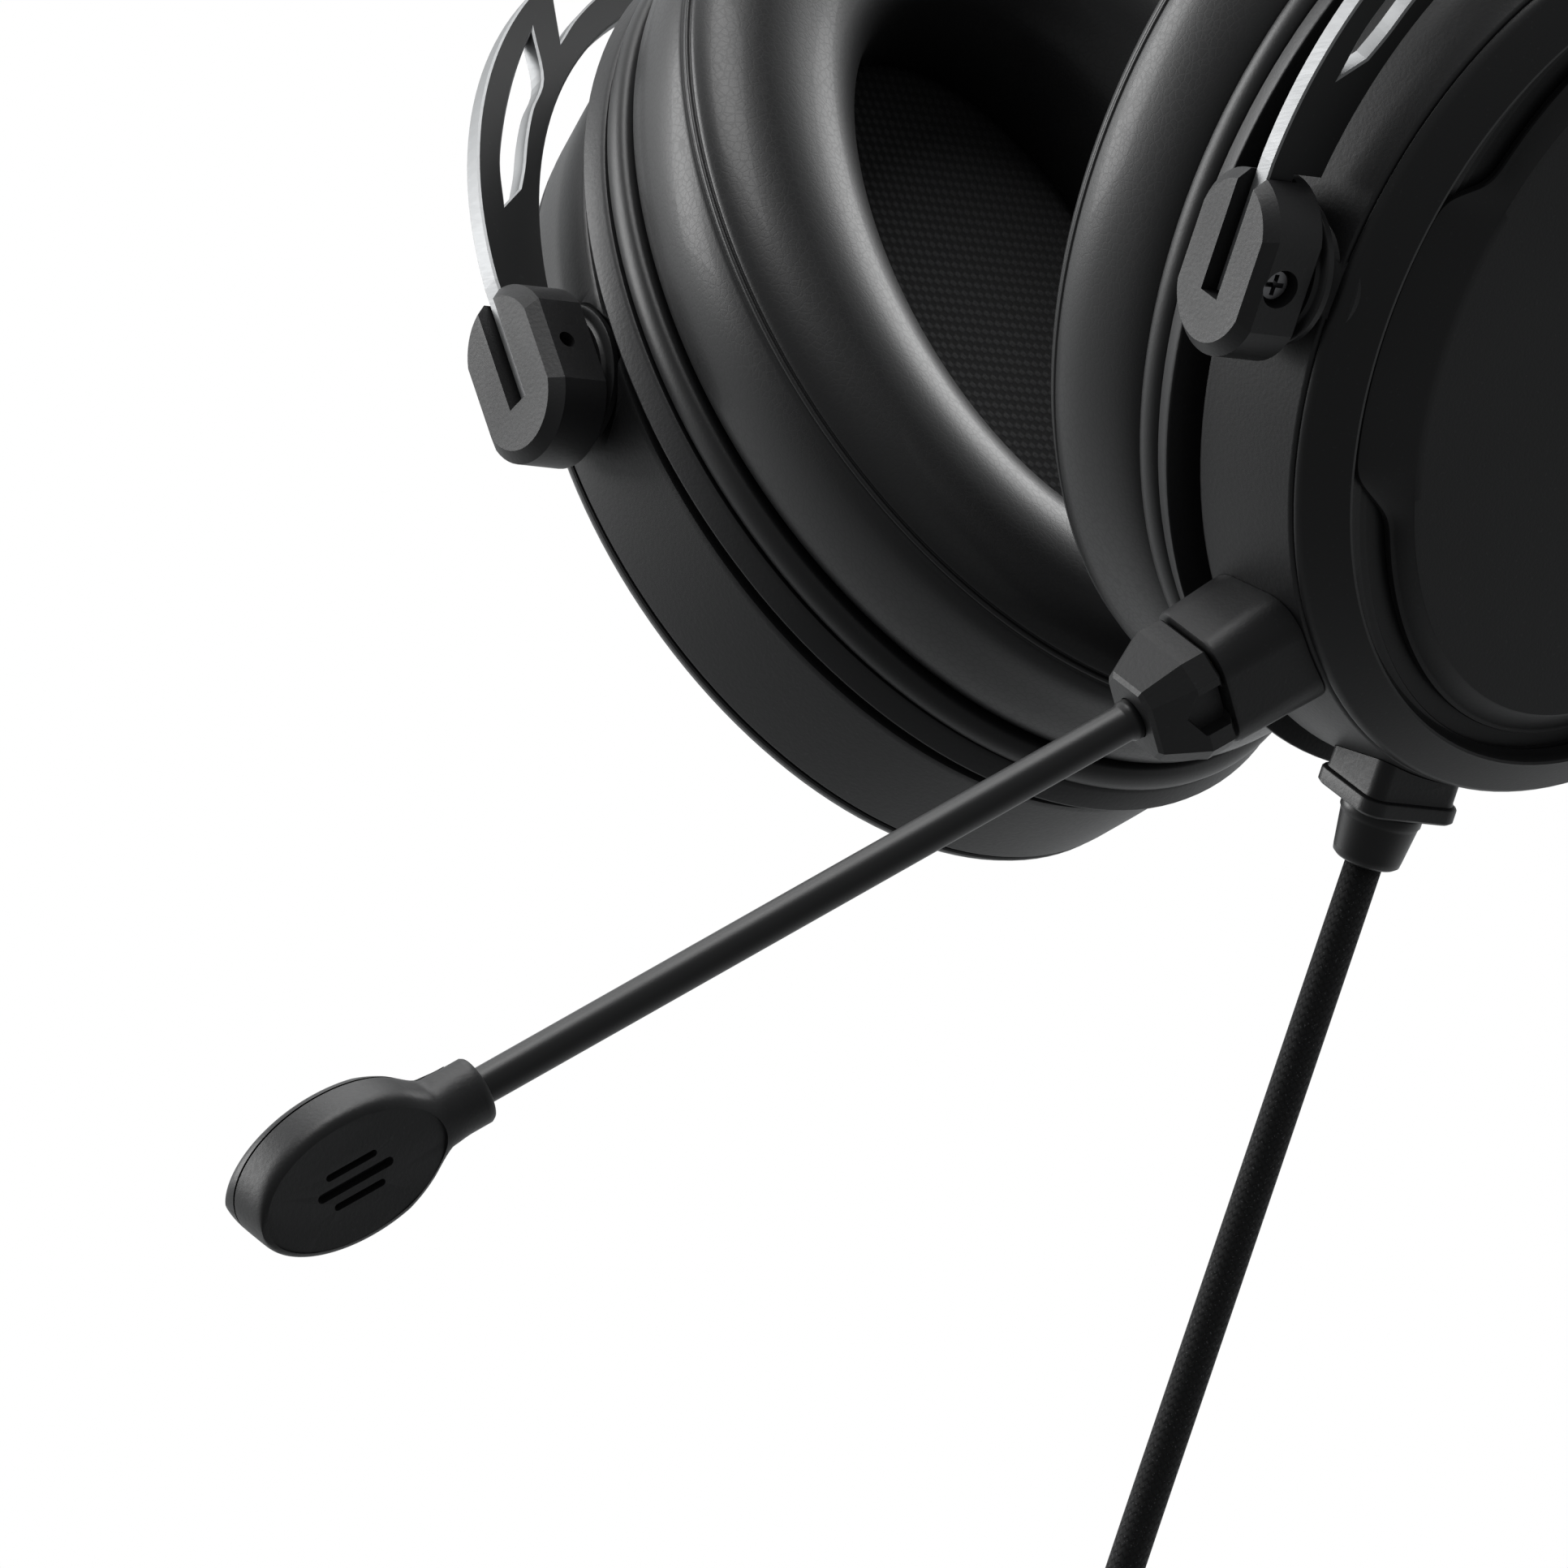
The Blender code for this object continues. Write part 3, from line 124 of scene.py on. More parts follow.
for box_name, box_place, box_aim, box_size, box_power in SOFT_BOXES:
    lamp = bpy.data.lights.new(box_name, "AREA")
    lamp.shape, lamp.size, lamp.size_y, lamp.energy = "RECTANGLE", *box_size, box_power
    box_lamp = placed(box_name, lamp)
    box_lamp.location = box_place
    aim = Vector(box_place) - Vector(box_aim)
    box_lamp.rotation_euler = aim.to_track_quat("Z", "Y").to_euler()
floor_mesh = bpy.data.meshes.new("floor")
floor_mesh.from_pydata([(x * FLOOR_HALF, y * FLOOR_HALF, FLOOR_Z) for x,
                        y in ((-1, -1), (1, -1), (1, 1), (-1, 1))],
                       [], [(0, 1, 2, 3)])
floor = placed("floor", floor_mesh)
floor_paint = bpy.data.materials.new("floor_paint")
floor_paint.use_nodes = True
floor_shader = floor_paint.node_tree.nodes["Principled BSDF"].inputs
floor_shader["Base Color"].default_value = FLOOR_TINT
floor_shader["Roughness"].default_value = 0.85
floor_mesh.materials.append(floor_paint)
# The floor is too far down to throw light back up at the cups
floor.visible_diffuse = floor.visible_glossy = False


# Cord: a four millimetre lead with a braided sleeve, from under the left cup. It runs straight, hangs, and
# its spare length is wound in seven turns held by a tie; the tail below ends in a jack plug.
MM = 0.001
LEAN = math.radians(29.0)                       # of the yokes and cups away from upright
LEAN_SIN, LEAN_COS = math.sin(LEAN), math.cos(LEAN)
PIVOT_X, EAR_DROP = 61.2, 152.0911              # where the left cup tilts: outwards, and below the rest point
CORD_W, CORD_U = -1.0, 5.1
CORD_R = 2.0
CORD_ROOT_V = -64.2
CORD_STEP = 0.2                                 # points of the lead closer than this are merged
COIL_LEAD = 0.35                                # share of the way to the turns that runs straight
# The hanging route as (x, z) from the root
CORD_ROUTE = ((0.0, 0.0), (-9.7, -17.5), (-19.4, -35.0), (-29.1, -52.5), (-38.8, -70.0),
              (-45.6, -83.0), (-50.4, -96.5), (-53.0, -110.5), (-53.9, -124.0))
COIL_R = 24.0                                   # middle of the turns
COIL_TUBE_R = 7.2
COIL_TURNS = 7
STRAND_OUT = 5.32                               # of each turn from the middle of the bundle
COIL_POINTS = 24                                # for each turn
TAIL_L = 30.0
BRAID_AROUND, BRAID_CELL = 16, 0.95              # cells around the sleeve, and the length of one


def from_side(points):
    """The left side frame's (outwards, forwards, up) millimetres as row frame metres."""
    out, ahead, up = np.moveaxis(np.asarray(points, float), -1, 0)
    return np.stack([PIVOT_X + out * LEAN_COS + up * LEAN_SIN, -ahead,
                     -EAR_DROP - out * LEAN_SIN + up * LEAN_COS], -1) * MM


def full_turn(steps):
    """Angles once round, in so many even steps."""
    return np.linspace(0, 2 * math.pi, steps, endpoint=False)


def spline(before, first, second, after, t):
    """The place a share t of the way from the first to the second, on a smooth line through all four."""
    return 0.5 * (2 * first + (second - before) * t + (2 * before - 5 * first + 4 * second - after) * t ** 2
                  + (3 * first - before - 3 * second + after) * t ** 3)


def through(points, parts):
    """Points along a smooth line through the given ones, with so many parts to each stretch."""
    places = np.asarray(points, float)
    wide = np.concatenate([[2 * places[0] - places[1]], places, [2 * places[-1] - places[-2]]])
    t = (np.arange(parts) / parts)[:, None, *([None] * (places.ndim - 2))]
    made = [spline(*four, t) for four in zip(wide, wide[1:], wide[2:], wide[3:])]
    return np.concatenate(made + [places[-1:]])


def face_out(mesh):
    """Turn every face of a closed mesh outwards."""
    work = bmesh.new()
    work.from_mesh(mesh)
    bmesh.ops.remove_doubles(work, verts=work.verts, dist=1e-7)
    bmesh.ops.recalc_face_normals(work, faces=work.faces)
    if work.calc_volume(signed=True) < 0:
        bmesh.ops.reverse_faces(work, faces=work.faces)
    work.to_mesh(mesh)
    work.free()


def read_points(mesh, what="co"):
    """A value of each point of a mesh, such as its place or its normal, as rows of three."""
    values = np.empty(len(mesh.vertices) * 3)
    mesh.vertices.foreach_get(what, values)
    return values.reshape(-1, 3)


def skin(name, rows, ring=False):
    """A skin over rows of equal numbers of points; its ends are capped unless the rows make a ring."""
    rows = np.asarray(rows, float)
    count, around = rows.shape[:2]
    faces = [(i * around + k, i * around + (k + 1) % around,
              (i + 1) % count * around + (k + 1) % around, (i + 1) % count * around + k)
             for i in range(count if ring else count - 1) for k in range(around)]
    if not ring:
        faces += [tuple(range(around)), tuple(range((count - 1) * around, count * around))]
    mesh = bpy.data.meshes.new(name)
    mesh.from_pydata(rows.reshape(-1, 3).tolist(), [], faces)
    face_out(mesh)
    return placed(name, mesh)


def sleeve(name, path, radius, around=20):
    """A tube along a path with an even twist; its UV map runs around it and along it in metres."""
    path = np.asarray(path, float)
    run = np.gradient(path, axis=0)
    run /= np.linalg.norm(run, axis=1)[:, None]
    side = np.cross(run[0], (0.0, 1.0, 0.3))
    turn = full_turn(around)[:, None]
    rows = []
    for place, ahead in zip(path, run):
        side = side - ahead * (side @ ahead)
        side /= np.linalg.norm(side)
        other = np.cross(ahead, side)
        rows.append(place + radius * (np.cos(turn) * side + np.sin(turn) * other))
    made = skin(name, rows)
    gone = np.concatenate([[0], np.cumsum(np.linalg.norm(np.diff(path, axis=0), axis=1))])
    layer = made.data.uv_layers.new(name="around")
    for face in made.data.polygons:
        across = [v % around for v in face.vertices]
        wraps = len(face.vertices) == 4 and max(across) - min(across) > 1
        for loop, vertex, k in zip(face.loop_indices, face.vertices, across):
            column = k + around if wraps and k == 0 else k
            layer.data[loop].uv = (column / around, gone[min(vertex // around, len(gone) - 1)])
    return made


class Socket:
    """A node's output; sums, differences, products, quotients and powers of it add Math nodes."""

    def __init__(self, look, output):
        self.look, self.output = look, output

    def math(self, operation, first, second):
        return self.look.node("ShaderNodeMath", {"operation": operation}, {0: first, 1: second})

    def alone(self, operation):
        return self.look.node("ShaderNodeMath", {"operation": operation}, {0: self})

    def __add__(self, other):
        return self.math("ADD", self, other)

    def __radd__(self, other):
        return self.math("ADD", other, self)

    def __sub__(self, other):
        return self.math("SUBTRACT", self, other)

    def __rsub__(self, other):
        return self.math("SUBTRACT", other, self)

    def __mul__(self, other):
        return self.math("MULTIPLY", self, other)

    def __rmul__(self, other):
        return self.math("MULTIPLY", other, self)

    def __truediv__(self, other):
        return self.math("DIVIDE", self, other)

    def __pow__(self, other):
        return self.math("POWER", self, other)

    def __gt__(self, other):
        return self.math("GREATER_THAN", self, other)


class Look:
    """A material: its Principled shader and the nodes that feed it."""

    def __init__(self, name, roughness, metallic=0.0, coat=0.0, sheen=0.0):
        self.material = bpy.data.materials.new(name)
        self.material.use_nodes = True
        self.tree = self.material.node_tree
        self.shader = self.tree.nodes["Principled BSDF"]
        self.shader.inputs["Roughness"].default_value = roughness
        self.shader.inputs["Metallic"].default_value = metallic
        self.shader.inputs["Coat Weight"].default_value = coat
        self.shader.inputs["Sheen Weight"].default_value = sheen
        self.place = self.node("ShaderNodeTexCoord", out="Object")

    def node(self, kind, settings=None, inputs=None, out=0):
        """Adds a node of a type with its settings, then the values or links of its sockets."""
        made = self.tree.nodes.new(kind)
        for name, value in (settings or {}).items():
            setattr(made, name, value)
        for name, value in (inputs or {}).items():
            if isinstance(value, Socket):
                self.tree.links.new(value.output, made.inputs[name])
            else:
                made.inputs[name].default_value = value
        return Socket(self, made.outputs[out])

    def flat(self, uv_map):
        """The two coordinates of a UV map."""
        uv = self.node("ShaderNodeUVMap", {"uv_map": uv_map}, out="UV")
        split = self.node("ShaderNodeSeparateXYZ", {}, {"Vector": uv}, out="X")
        return split, Socket(self, split.output.node.outputs["Y"])

    def noise(self, scale, detail=2.0, place=None):
        return self.node("ShaderNodeTexNoise", {}, {"Vector": place or self.place, "Scale": scale,
                                                    "Detail": detail})

    def between(self, low, high, share):
        """A colour between two colours, each a triple or a socket."""
        first, second = (c if isinstance(c, Socket) else (*c, 1.0) for c in (low, high))
        return self.node("ShaderNodeMix", {"data_type": "RGBA"}, {0: share, 6: first, 7: second}, out=2)

    def ease(self, value, low, high):
        """0 under low, 1 over high and smooth between them."""
        return self.node("ShaderNodeMapRange", {"interpolation_type": "SMOOTHSTEP"},
                         {"Value": value, "From Min": low, "From Max": high})

    def feed(self, socket, value):
        self.tree.links.new(value.output, self.shader.inputs[socket])

    def relief(self, height, depth, strength=1.0, under=None):
        """A bump of so many metres that feeds the shader's normal, over another one if given."""
        inputs = {"Height": height, "Distance": depth, "Strength": strength}
        if under is not None:
            inputs["Normal"] = under
        made = self.node("ShaderNodeBump", {}, inputs, out="Normal")
        self.feed("Normal", made)
        return made


def braided_look():
    """A sleeve of black yarns that cross over and under each other, with a few bright specks of painted glint
    on the yarns.
    """
    look = Look("cord_braid", 0.72)
    round_it, along_it = look.flat("around")
    along = along_it * (math.pi / (BRAID_CELL * MM))
    across = round_it * (math.pi * BRAID_AROUND)
    one, two = (along + across).alone("SINE"), (along - across).alone("SINE")
    over = (one * two) > 0.0
    lie, cross = one.alone("ABSOLUTE"), two.alone("ABSOLUTE")
    yarn = lie * over * 0.8 + cross * (1.0 - over)
    fuzz = look.noise(9000.0, 3.0)
    height = yarn ** 0.6 + fuzz * 0.25
    tone = look.between((0.0035, 0.0035, 0.0038), (0.0095, 0.0095, 0.0100), yarn * (0.55 + fuzz * 0.6))
    # Painted highlight: bright specks on the yarns' crowns, put into the base colour as glints of light.
    painted_glint = look.ease(look.noise(5200.0, 0.0), 0.70, 0.78) * yarn
    look.feed("Base Color", look.between(tone, (0.11, 0.11, 0.115), painted_glint))
    look.feed("Roughness", 0.84 - yarn * 0.14 + fuzz * 0.1)
    look.relief(height, 0.00007, 0.6)
    return look


def dressed(piece, look, body, nodes):
    """Gives a finished piece its finish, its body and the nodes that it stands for."""
    if look is not None:
        piece.data.materials.clear()
        piece.data.materials.append(look.material)
    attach(piece, body)
    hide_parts(*nodes)
    return piece


root_place = from_side((CORD_W, CORD_U, CORD_ROOT_V)) / MM
hang = [root_place + np.array((x, 0.0, z)) for x, z in CORD_ROUTE]
coil_reach = COIL_R + COIL_TUBE_R + 0.4
coil_meet = math.sqrt(coil_reach ** 2 - (COIL_R - CORD_R) ** 2)
coil_centre = hang[-1] + np.array((COIL_R, 0.0, -coil_meet))
slot_turn = 2 * math.pi / (COIL_TURNS + 1)      # how far a strand moves round the bundle in one turn
turns_at = np.arange(COIL_TURNS * COIL_POINTS + 1) / COIL_POINTS
round_at = math.pi + turns_at * 2 * math.pi     # it comes in at the wearer's right, going down
bundle_at = slot_turn / 2 + turns_at * slot_turn
out_at = COIL_R + STRAND_OUT * np.cos(bundle_at)
coil_path = coil_centre + np.stack([out_at * np.cos(round_at), STRAND_OUT * np.sin(bundle_at),
                                    out_at * np.sin(round_at)], -1)
come_in = coil_path[0] + np.array((0.0, 0.0, coil_meet * COIL_LEAD))
go_out = coil_path[-1] - np.array((0.0, 0.0, coil_meet * COIL_LEAD))
tail_end = np.array((coil_centre[0] - COIL_R, coil_centre[1], coil_centre[2] - coil_meet - TAIL_L))
tail = [go_out, tail_end + (go_out - tail_end) * np.array((0.42, 0.42, 0.55)),
        tail_end + np.array((0.0, 0.0, 12.0)), tail_end]
hang[-1] = (hang[-2] + come_in) / 2 + np.array((-0.3, 0.0, 0.0))
cord_line = np.concatenate([through(hang + [come_in], 4)[:-1], through(coil_path, 3), through(tail, 8)])
keep = np.concatenate([[True], np.linalg.norm(np.diff(cord_line, axis=0), axis=1) > CORD_STEP])
cord_line = cord_line[keep] * MM
braid = braided_look()
cord = sleeve("braided_cord", cord_line, CORD_R * MM, 18)
dressed(cord, braid, "cup_left", ["cord", "cord_coil", "cord_tail"])
cord.data.shade_smooth()


# Coil tie, plug and pin: a soft strap round the bundle of turns, a slim moulded plug body with grip grooves
# and a short sleeve where the lead goes in, and a gold plated four-pole pin.
TIE_T, TIE_WIDTH = 1.2, 9.0
PLUG_R, PLUG_L = 4.0, 20.0
PIN_R, PIN_L = 1.75, 14.0
GRIP_GROOVES, GRIP_FROM, GRIP_STEP = 6, 7.6, 1.7
# Worn edges: the longest edge counted, in metres, and how a bend becomes wear
WORN_REACH, WORN_GAIN, WORN_FROM = 0.0022, 2.2, 0.3


def turned(name, profile, start, axis, steps=48, place=from_side):
    """A turned solid from (radius, distance along the axis) points, as side frame millimetres."""
    ahead = np.asarray(axis, float) / np.linalg.norm(axis)
    side = np.cross(ahead, (0.31, 0.87, 0.38))
    side /= np.linalg.norm(side)
    other = np.cross(ahead, side)
    turn = full_turn(steps)[:, None]
    rows = []
    for r, far in profile:
        rows.append(place(np.asarray(start, float) + ahead * far
                          + max(r, 0.02) * (np.cos(turn) * side + np.sin(turn) * other)))
    return skin(name, rows)


def in_row(points):
    """Row frame millimetres as metres."""
    return np.asarray(points, float) * MM


def baked(piece):
    """Puts what a piece's modifiers show into its mesh."""
    bpy.context.view_layer.update()
    seen = piece.evaluated_get(bpy.context.evaluated_depsgraph_get())
    mesh = bpy.data.meshes.new_from_object(seen)
    piece.modifiers.clear()
    piece.data = mesh
    return piece


def carved(piece, cutters, operation="DIFFERENCE"):
    """Cuts other pieces out of a piece, or joins them to it, and removes them."""
    for cutter in cutters:
        step = piece.modifiers.new("carve", "BOOLEAN")
        step.operation, step.solver, step.object = operation, "EXACT", cutter
    baked(piece)
    for cutter in cutters:
        bpy.data.objects.remove(cutter)
    return piece


def softened(piece, width, angle):
    """Rounds a piece's edges sharper than an angle by so many millimetres."""
    step = piece.modifiers.new("round", "BEVEL")
    step.width, step.segments, step.limit_method = width * MM, 2, "ANGLE"
    step.angle_limit, step.miter_outer = math.radians(angle), "MITER_ARC"
    return baked(piece)


def shaded(piece, angle=38.0):
    """Smooth shading that keeps flat faces flat, and a worn-edge value on each point."""
    mesh = piece.data
    mesh.shade_smooth()
    mesh.set_sharp_from_angle(angle=math.radians(angle))
    step = piece.modifiers.new("even", "WEIGHTED_NORMAL")
    step.keep_sharp = True
    baked(piece)
    mesh = piece.data
    place, normal = read_points(mesh), read_points(mesh, "normal")
    ends = np.empty(len(mesh.edges) * 2, int)
    mesh.edges.foreach_get("vertices", ends)
    ends = ends.reshape(-1, 2)
    step_out = place[ends[:, 1]] - place[ends[:, 0]]
    long = np.linalg.norm(step_out, axis=1) + 1e-9
    bend = np.zeros(len(mesh.vertices))
    for first, second, way in ((0, 1, 1), (1, 0, -1)):
        drop = -np.einsum("ij,ij->i", step_out * way, normal[ends[:, first]]) / long
        np.maximum.at(bend, ends[:, first], drop * (long < WORN_REACH))
    worn = mesh.attributes.new("worn", "FLOAT", "POINT")
    worn.data.foreach_set("value", np.clip(bend * WORN_GAIN - WORN_FROM, 0, 1).astype(np.float32))
    return piece


def mirrored(piece, name):
    """A copy of a piece on the other side of the middle."""
    made = placed(name, piece.data.copy())
    made.data.transform(Matrix.Scale(-1.0, 4, (1, 0, 0)))
    made.data.flip_normals()
    return made


def pair(piece, look, body, nodes, angle=38.0):
    """Finishes the left piece and its mirrored twin on the right. Names end in the side."""
    base = piece.name
    twin = mirrored(piece, f"{base}_right")
    piece.name = f"{base}_left"
    for side, item in (("left", piece), ("right", twin)):
        if angle:
            shaded(item, angle)
        dressed(item, look, f"{body}_{side}", [f"{node}_{side}" for node in nodes])
    return piece, twin


def moulded_look(name, colour, roughness, grain=0.45, depth=0.00003, coat=0.0, wear=0.35):
    """Injection moulded plastic with a fine spark-eroded grain, a little shine on its handled edges."""
    look = Look(name, roughness, coat=coat)
    fine = look.noise(1.0 / (grain * MM), 3.0)
    broad = look.noise(38.0, 4.0)
    worn = look.node("ShaderNodeAttribute", {"attribute_name": "worn"}, out="Fac")
    rubbed = look.ease(worn * (0.55 + broad * 0.9), 0.30, 0.95) * wear
    tone = look.between([c * 0.80 for c in colour], [c * 1.22 for c in colour], broad)
    tone = look.between(tone, [c * 2.6 + 0.006 for c in colour], rubbed)
    specks = look.ease(look.noise(2600.0, 0.0), 0.77, 0.80)
    look.feed("Base Color", look.between(tone, [c * 1.9 + 0.003 for c in colour], specks * 0.5))
    look.feed("Roughness", roughness + (broad - 0.5) * 0.16 + (fine - 0.5) * 0.10 - rubbed * 0.14)
    look.relief(fine + broad * 0.15, depth, 0.8)
    return look


def rubber_look(name, colour, roughness):
    """Soft-touch rubber: a satin skin with faint streaks along it and fine dust in its pores."""
    look = Look(name, roughness, sheen=0.05)
    fine = look.noise(4200.0, 2.0)
    broad = look.noise(55.0, 3.0)
    look.feed("Base Color", look.between([c * 0.85 for c in colour], [c * 1.3 for c in colour], broad))
    look.feed("Roughness", roughness + (broad - 0.5) * 0.12 + (fine - 0.5) * 0.06)
    look.relief(fine, 0.000012, 0.6)
    return look


def metal_look(name, colour, roughness, stretch=(1.0, 1.0, 26.0), grain=900.0):
    """Brushed or drawn metal with fine lines, small scratches and handling marks."""
    look = Look(name, roughness, metallic=1.0)
    lie = look.node("ShaderNodeMapping", {}, {"Vector": look.place, "Scale": stretch})
    lines = look.noise(grain / max(stretch) * 8, 4.0, lie)
    marks = look.noise(70.0, 3.0)
    look.feed("Base Color", look.between([c * 0.86 for c in colour], colour, lines * 0.6 + marks * 0.4))
    look.feed("Roughness", roughness + (lines - 0.5) * 0.18 + (marks - 0.5) * 0.12)
    look.relief(lines, 0.00001, 0.5)
    return look


BLACK = (0.0135, 0.0135, 0.0142)
plastic = moulded_look("matte_black_plastic", BLACK, 0.46)
smooth_plastic = moulded_look("smooth_black_plastic", [c * 0.9 for c in BLACK], 0.40, 0.30, 0.000015)
rubber = rubber_look("black_rubber", (0.0125, 0.0125, 0.013), 0.40)
steel = metal_look("dark_steel", (0.30, 0.30, 0.31), 0.36)
gold = metal_look("gold_plate", (0.83, 0.60, 0.27), 0.18, (1, 1, 4), 1500.0)

tube_out = COIL_TUBE_R + 0.25
bow = (COIL_R - COIL_TUBE_R) - math.sqrt((COIL_R - COIL_TUBE_R) ** 2 - (TIE_WIDTH / 2) ** 2)
tie_r = tube_out + bow
tie_rows = [(tie_r, -TIE_WIDTH / 2 + 0.4), (tie_r + 0.35, -TIE_WIDTH / 2),
            (tie_r + TIE_T, -TIE_WIDTH / 2 + 0.25),
            (tie_r + TIE_T, -0.6), (tie_r + TIE_T - 0.25, 0.0), (tie_r + TIE_T, 0.6),
            (tie_r + TIE_T, TIE_WIDTH / 2 - 0.25), (tie_r + 0.35, TIE_WIDTH / 2),
            (tie_r, TIE_WIDTH / 2 - 0.4)]
tie_turn = full_turn(56)[:, None]
tie_middle = coil_centre + np.array((0, 0, COIL_R))
tie = skin("coil_strap", [in_row(tie_middle + np.array((x, 0,
                                                        0)) + r * (np.cos(tie_turn) * np.array((0, 1, 0))
                                                                        + np.sin(tie_turn) * np.array((0, 0,
                                                                                                       1))))
                          for r, x in tie_rows], ring=True)
dressed(shaded(tie, 50), rubber, "cup_left", ["coil_tie"])

plug_top = tail_end - np.array((0, 0, 0.3))
grip = [(0.0, 0.0), (2.45, 0.0), (2.6, -0.2), (2.6, -1.2), (2.45, -1.4), (2.45, -1.8), (2.6, -2.0),
        (2.6, -3.0),
        (2.45, -3.2), (2.5, -3.8), (3.3, -4.6), (PLUG_R, -5.4)]
for i in range(GRIP_GROOVES):
    low = -GRIP_FROM - GRIP_STEP * i
    grip += [(PLUG_R, low + 0.5), (PLUG_R - 0.35, low + 0.25), (PLUG_R - 0.35, low - 0.25),
             (PLUG_R, low - 0.5)]
grip += [(PLUG_R, -PLUG_L + 0.5), (PLUG_R - 0.4, -PLUG_L), (0.0, -PLUG_L)]
plug = turned("jack_plug_body", grip[1:-1], plug_top, (0, 0, 1), 56, in_row)
dressed(shaded(plug, 50), plastic, "cup_left", ["plug_body"])
pin_top = plug_top - np.array((0, 0, PLUG_L + 0.3))
pin_rows = [(PIN_R + 0.5, 0.0), (PIN_R + 0.5, -0.6), (PIN_R, -0.7), (PIN_R, -4.0), (PIN_R - 0.12, -4.1),
            (PIN_R - 0.12, -4.6), (PIN_R, -4.7), (PIN_R, -7.2), (PIN_R - 0.12, -7.3), (PIN_R - 0.12, -7.8),
            (PIN_R, -7.9), (PIN_R, -10.2), (PIN_R - 0.12, -10.3), (PIN_R - 0.12, -10.8), (PIN_R, -10.9),
            (PIN_R, -11.4), (PIN_R * 0.68, -12.2), (PIN_R * 0.72, -12.5), (PIN_R * 0.9, -13.0),
            (PIN_R * 0.55, -13.7), (0.3, -PIN_L)]
pin = turned("jack_pin", pin_rows, pin_top, (0, 0, 1), 40, in_row)
dressed(shaded(pin, 40), gold, "cup_left", ["plug_pin"])


# Collar and strain relief: a moulded two-step collar grows from the cup body's underside, and a tapered
# rubber sleeve under it keeps the lead from kinking.
GLAND_HALF, GLAND_LIP, GLAND_BOTTOM, GLAND_LIP_T = (5.5, 5.0), 0.6, -57.4, 1.8
RELIEF_R, RELIEF_END_R, RELIEF_L = 4.4, 3.6, 6.2
OVAL_DROP, OVAL_STEPS = 2.1, 144
BODY_OUTER, BODY_INNER, BODY_OUTER_W, BODY_INNER_W = (39.3, 50.3), (41.5, 53.5), 6.3, -8.0


def oval(out, half, steps=OVAL_STEPS):
    """An oval round the cup's middle, as side frame millimetres."""
    turn = full_turn(steps)
    return np.stack([np.full(steps, out), half[0] * np.cos(turn), half[1] * np.sin(turn) - OVAL_DROP], -1)


def ovals(name, rows, ring=False):
    """A skin over (outwards, half sizes) ovals."""
    return skin(name, [from_side(oval(out, half)) for out, half in rows], ring)


def grown(half, extra):
    return (half[0] + extra, half[1] + extra)


def body_half(out):
    """Half sizes of the cup body at a distance outwards."""
    share = (out - BODY_OUTER_W) / (BODY_INNER_W - BODY_OUTER_W)
    return tuple(o + (i - o) * share for o, i in zip(BODY_OUTER, BODY_INNER))


def rounded(half_a, half_b, corner, steps=6):
    """Points of a rectangle with round corners."""
    points = []
    for quarter, (sa, sb) in enumerate(((1, 1), (-1, 1), (-1, -1), (1, -1))):
        for i in range(steps + 1):
            turn = math.pi / 2 * (quarter + i / steps)
            points.append((sa * (half_a - corner) + corner * math.cos(turn),
                           sb * (half_b - corner) + corner * math.sin(turn)))
    return np.array(points)


def cup_envelope():
    """The room that a cup body takes, to cut what grows from its side."""
    return ovals("envelope", [(10.5, grown(body_half(10.5), 0.05)), (-10.2, grown(body_half(-10.2), 0.05))])


def collar_row(up, extra):
    edge = rounded(GLAND_HALF[1] + extra, GLAND_HALF[0] + extra, 1.6 + extra)
    return from_side(np.stack([CORD_W + edge[:, 0], CORD_U + edge[:, 1], np.full(len(edge), up)], -1))


collar_top = -OVAL_DROP - body_half(CORD_W)[1] + 4
lip_top = GLAND_BOTTOM + GLAND_LIP_T
collar = skin("lead_collar", [collar_row(up, extra) for up, extra in (
    (collar_top, 0.0), (lip_top + 0.5, 0.0), (lip_top + 0.15, 0.1), (lip_top, GLAND_LIP - 0.15),
    (lip_top - 0.2, GLAND_LIP), (GLAND_BOTTOM + 0.3, GLAND_LIP), (GLAND_BOTTOM, GLAND_LIP - 0.35),
    (GLAND_BOTTOM, -0.9), (GLAND_BOTTOM + 0.25, -1.1))])
carved(collar, [cup_envelope()])
dressed(shaded(collar), plastic, "cup_left", ["cord_gland"])
relief_end = GLAND_BOTTOM - 0.3 - RELIEF_L
relief = turned("strain_relief_sleeve",
                [(CORD_R + 0.25, RELIEF_L), (RELIEF_R - 0.2, RELIEF_L), (RELIEF_R, RELIEF_L - 0.2),
                 (RELIEF_R, RELIEF_L - 1.1), (RELIEF_R - 0.16, RELIEF_L - 1.35),
                 (RELIEF_R - 0.2, RELIEF_L - 1.6),
                 (RELIEF_END_R + 0.12, 0.9), (RELIEF_END_R + 0.02, 0.3), (RELIEF_END_R - 0.35, 0.0),
                 (CORD_R + 0.35, 0.0), (CORD_R + 0.25, 0.2)],
                (CORD_W, CORD_U, relief_end), (0, 0, 1), 64)
dressed(shaded(relief, 45), rubber, "cup_left", ["strain_relief"])
tuple(cord_line[0])
[tuple(p) for p in cord_line]


# Cup bodies: a drafted oval shell on each side, moulded in matte black, deeper towards the head, with a low
# round boss at the front and rear where the yoke's pivot sits.
BODY_WALL, BODY_FLOOR = 2.0, 2.3
DISC_R, DISC_T, DISC_BACK = 8.0, 1.7, 40.6
HUMP_TOP, HUMP_FOOT = DISC_BACK - 0.3, 36.9

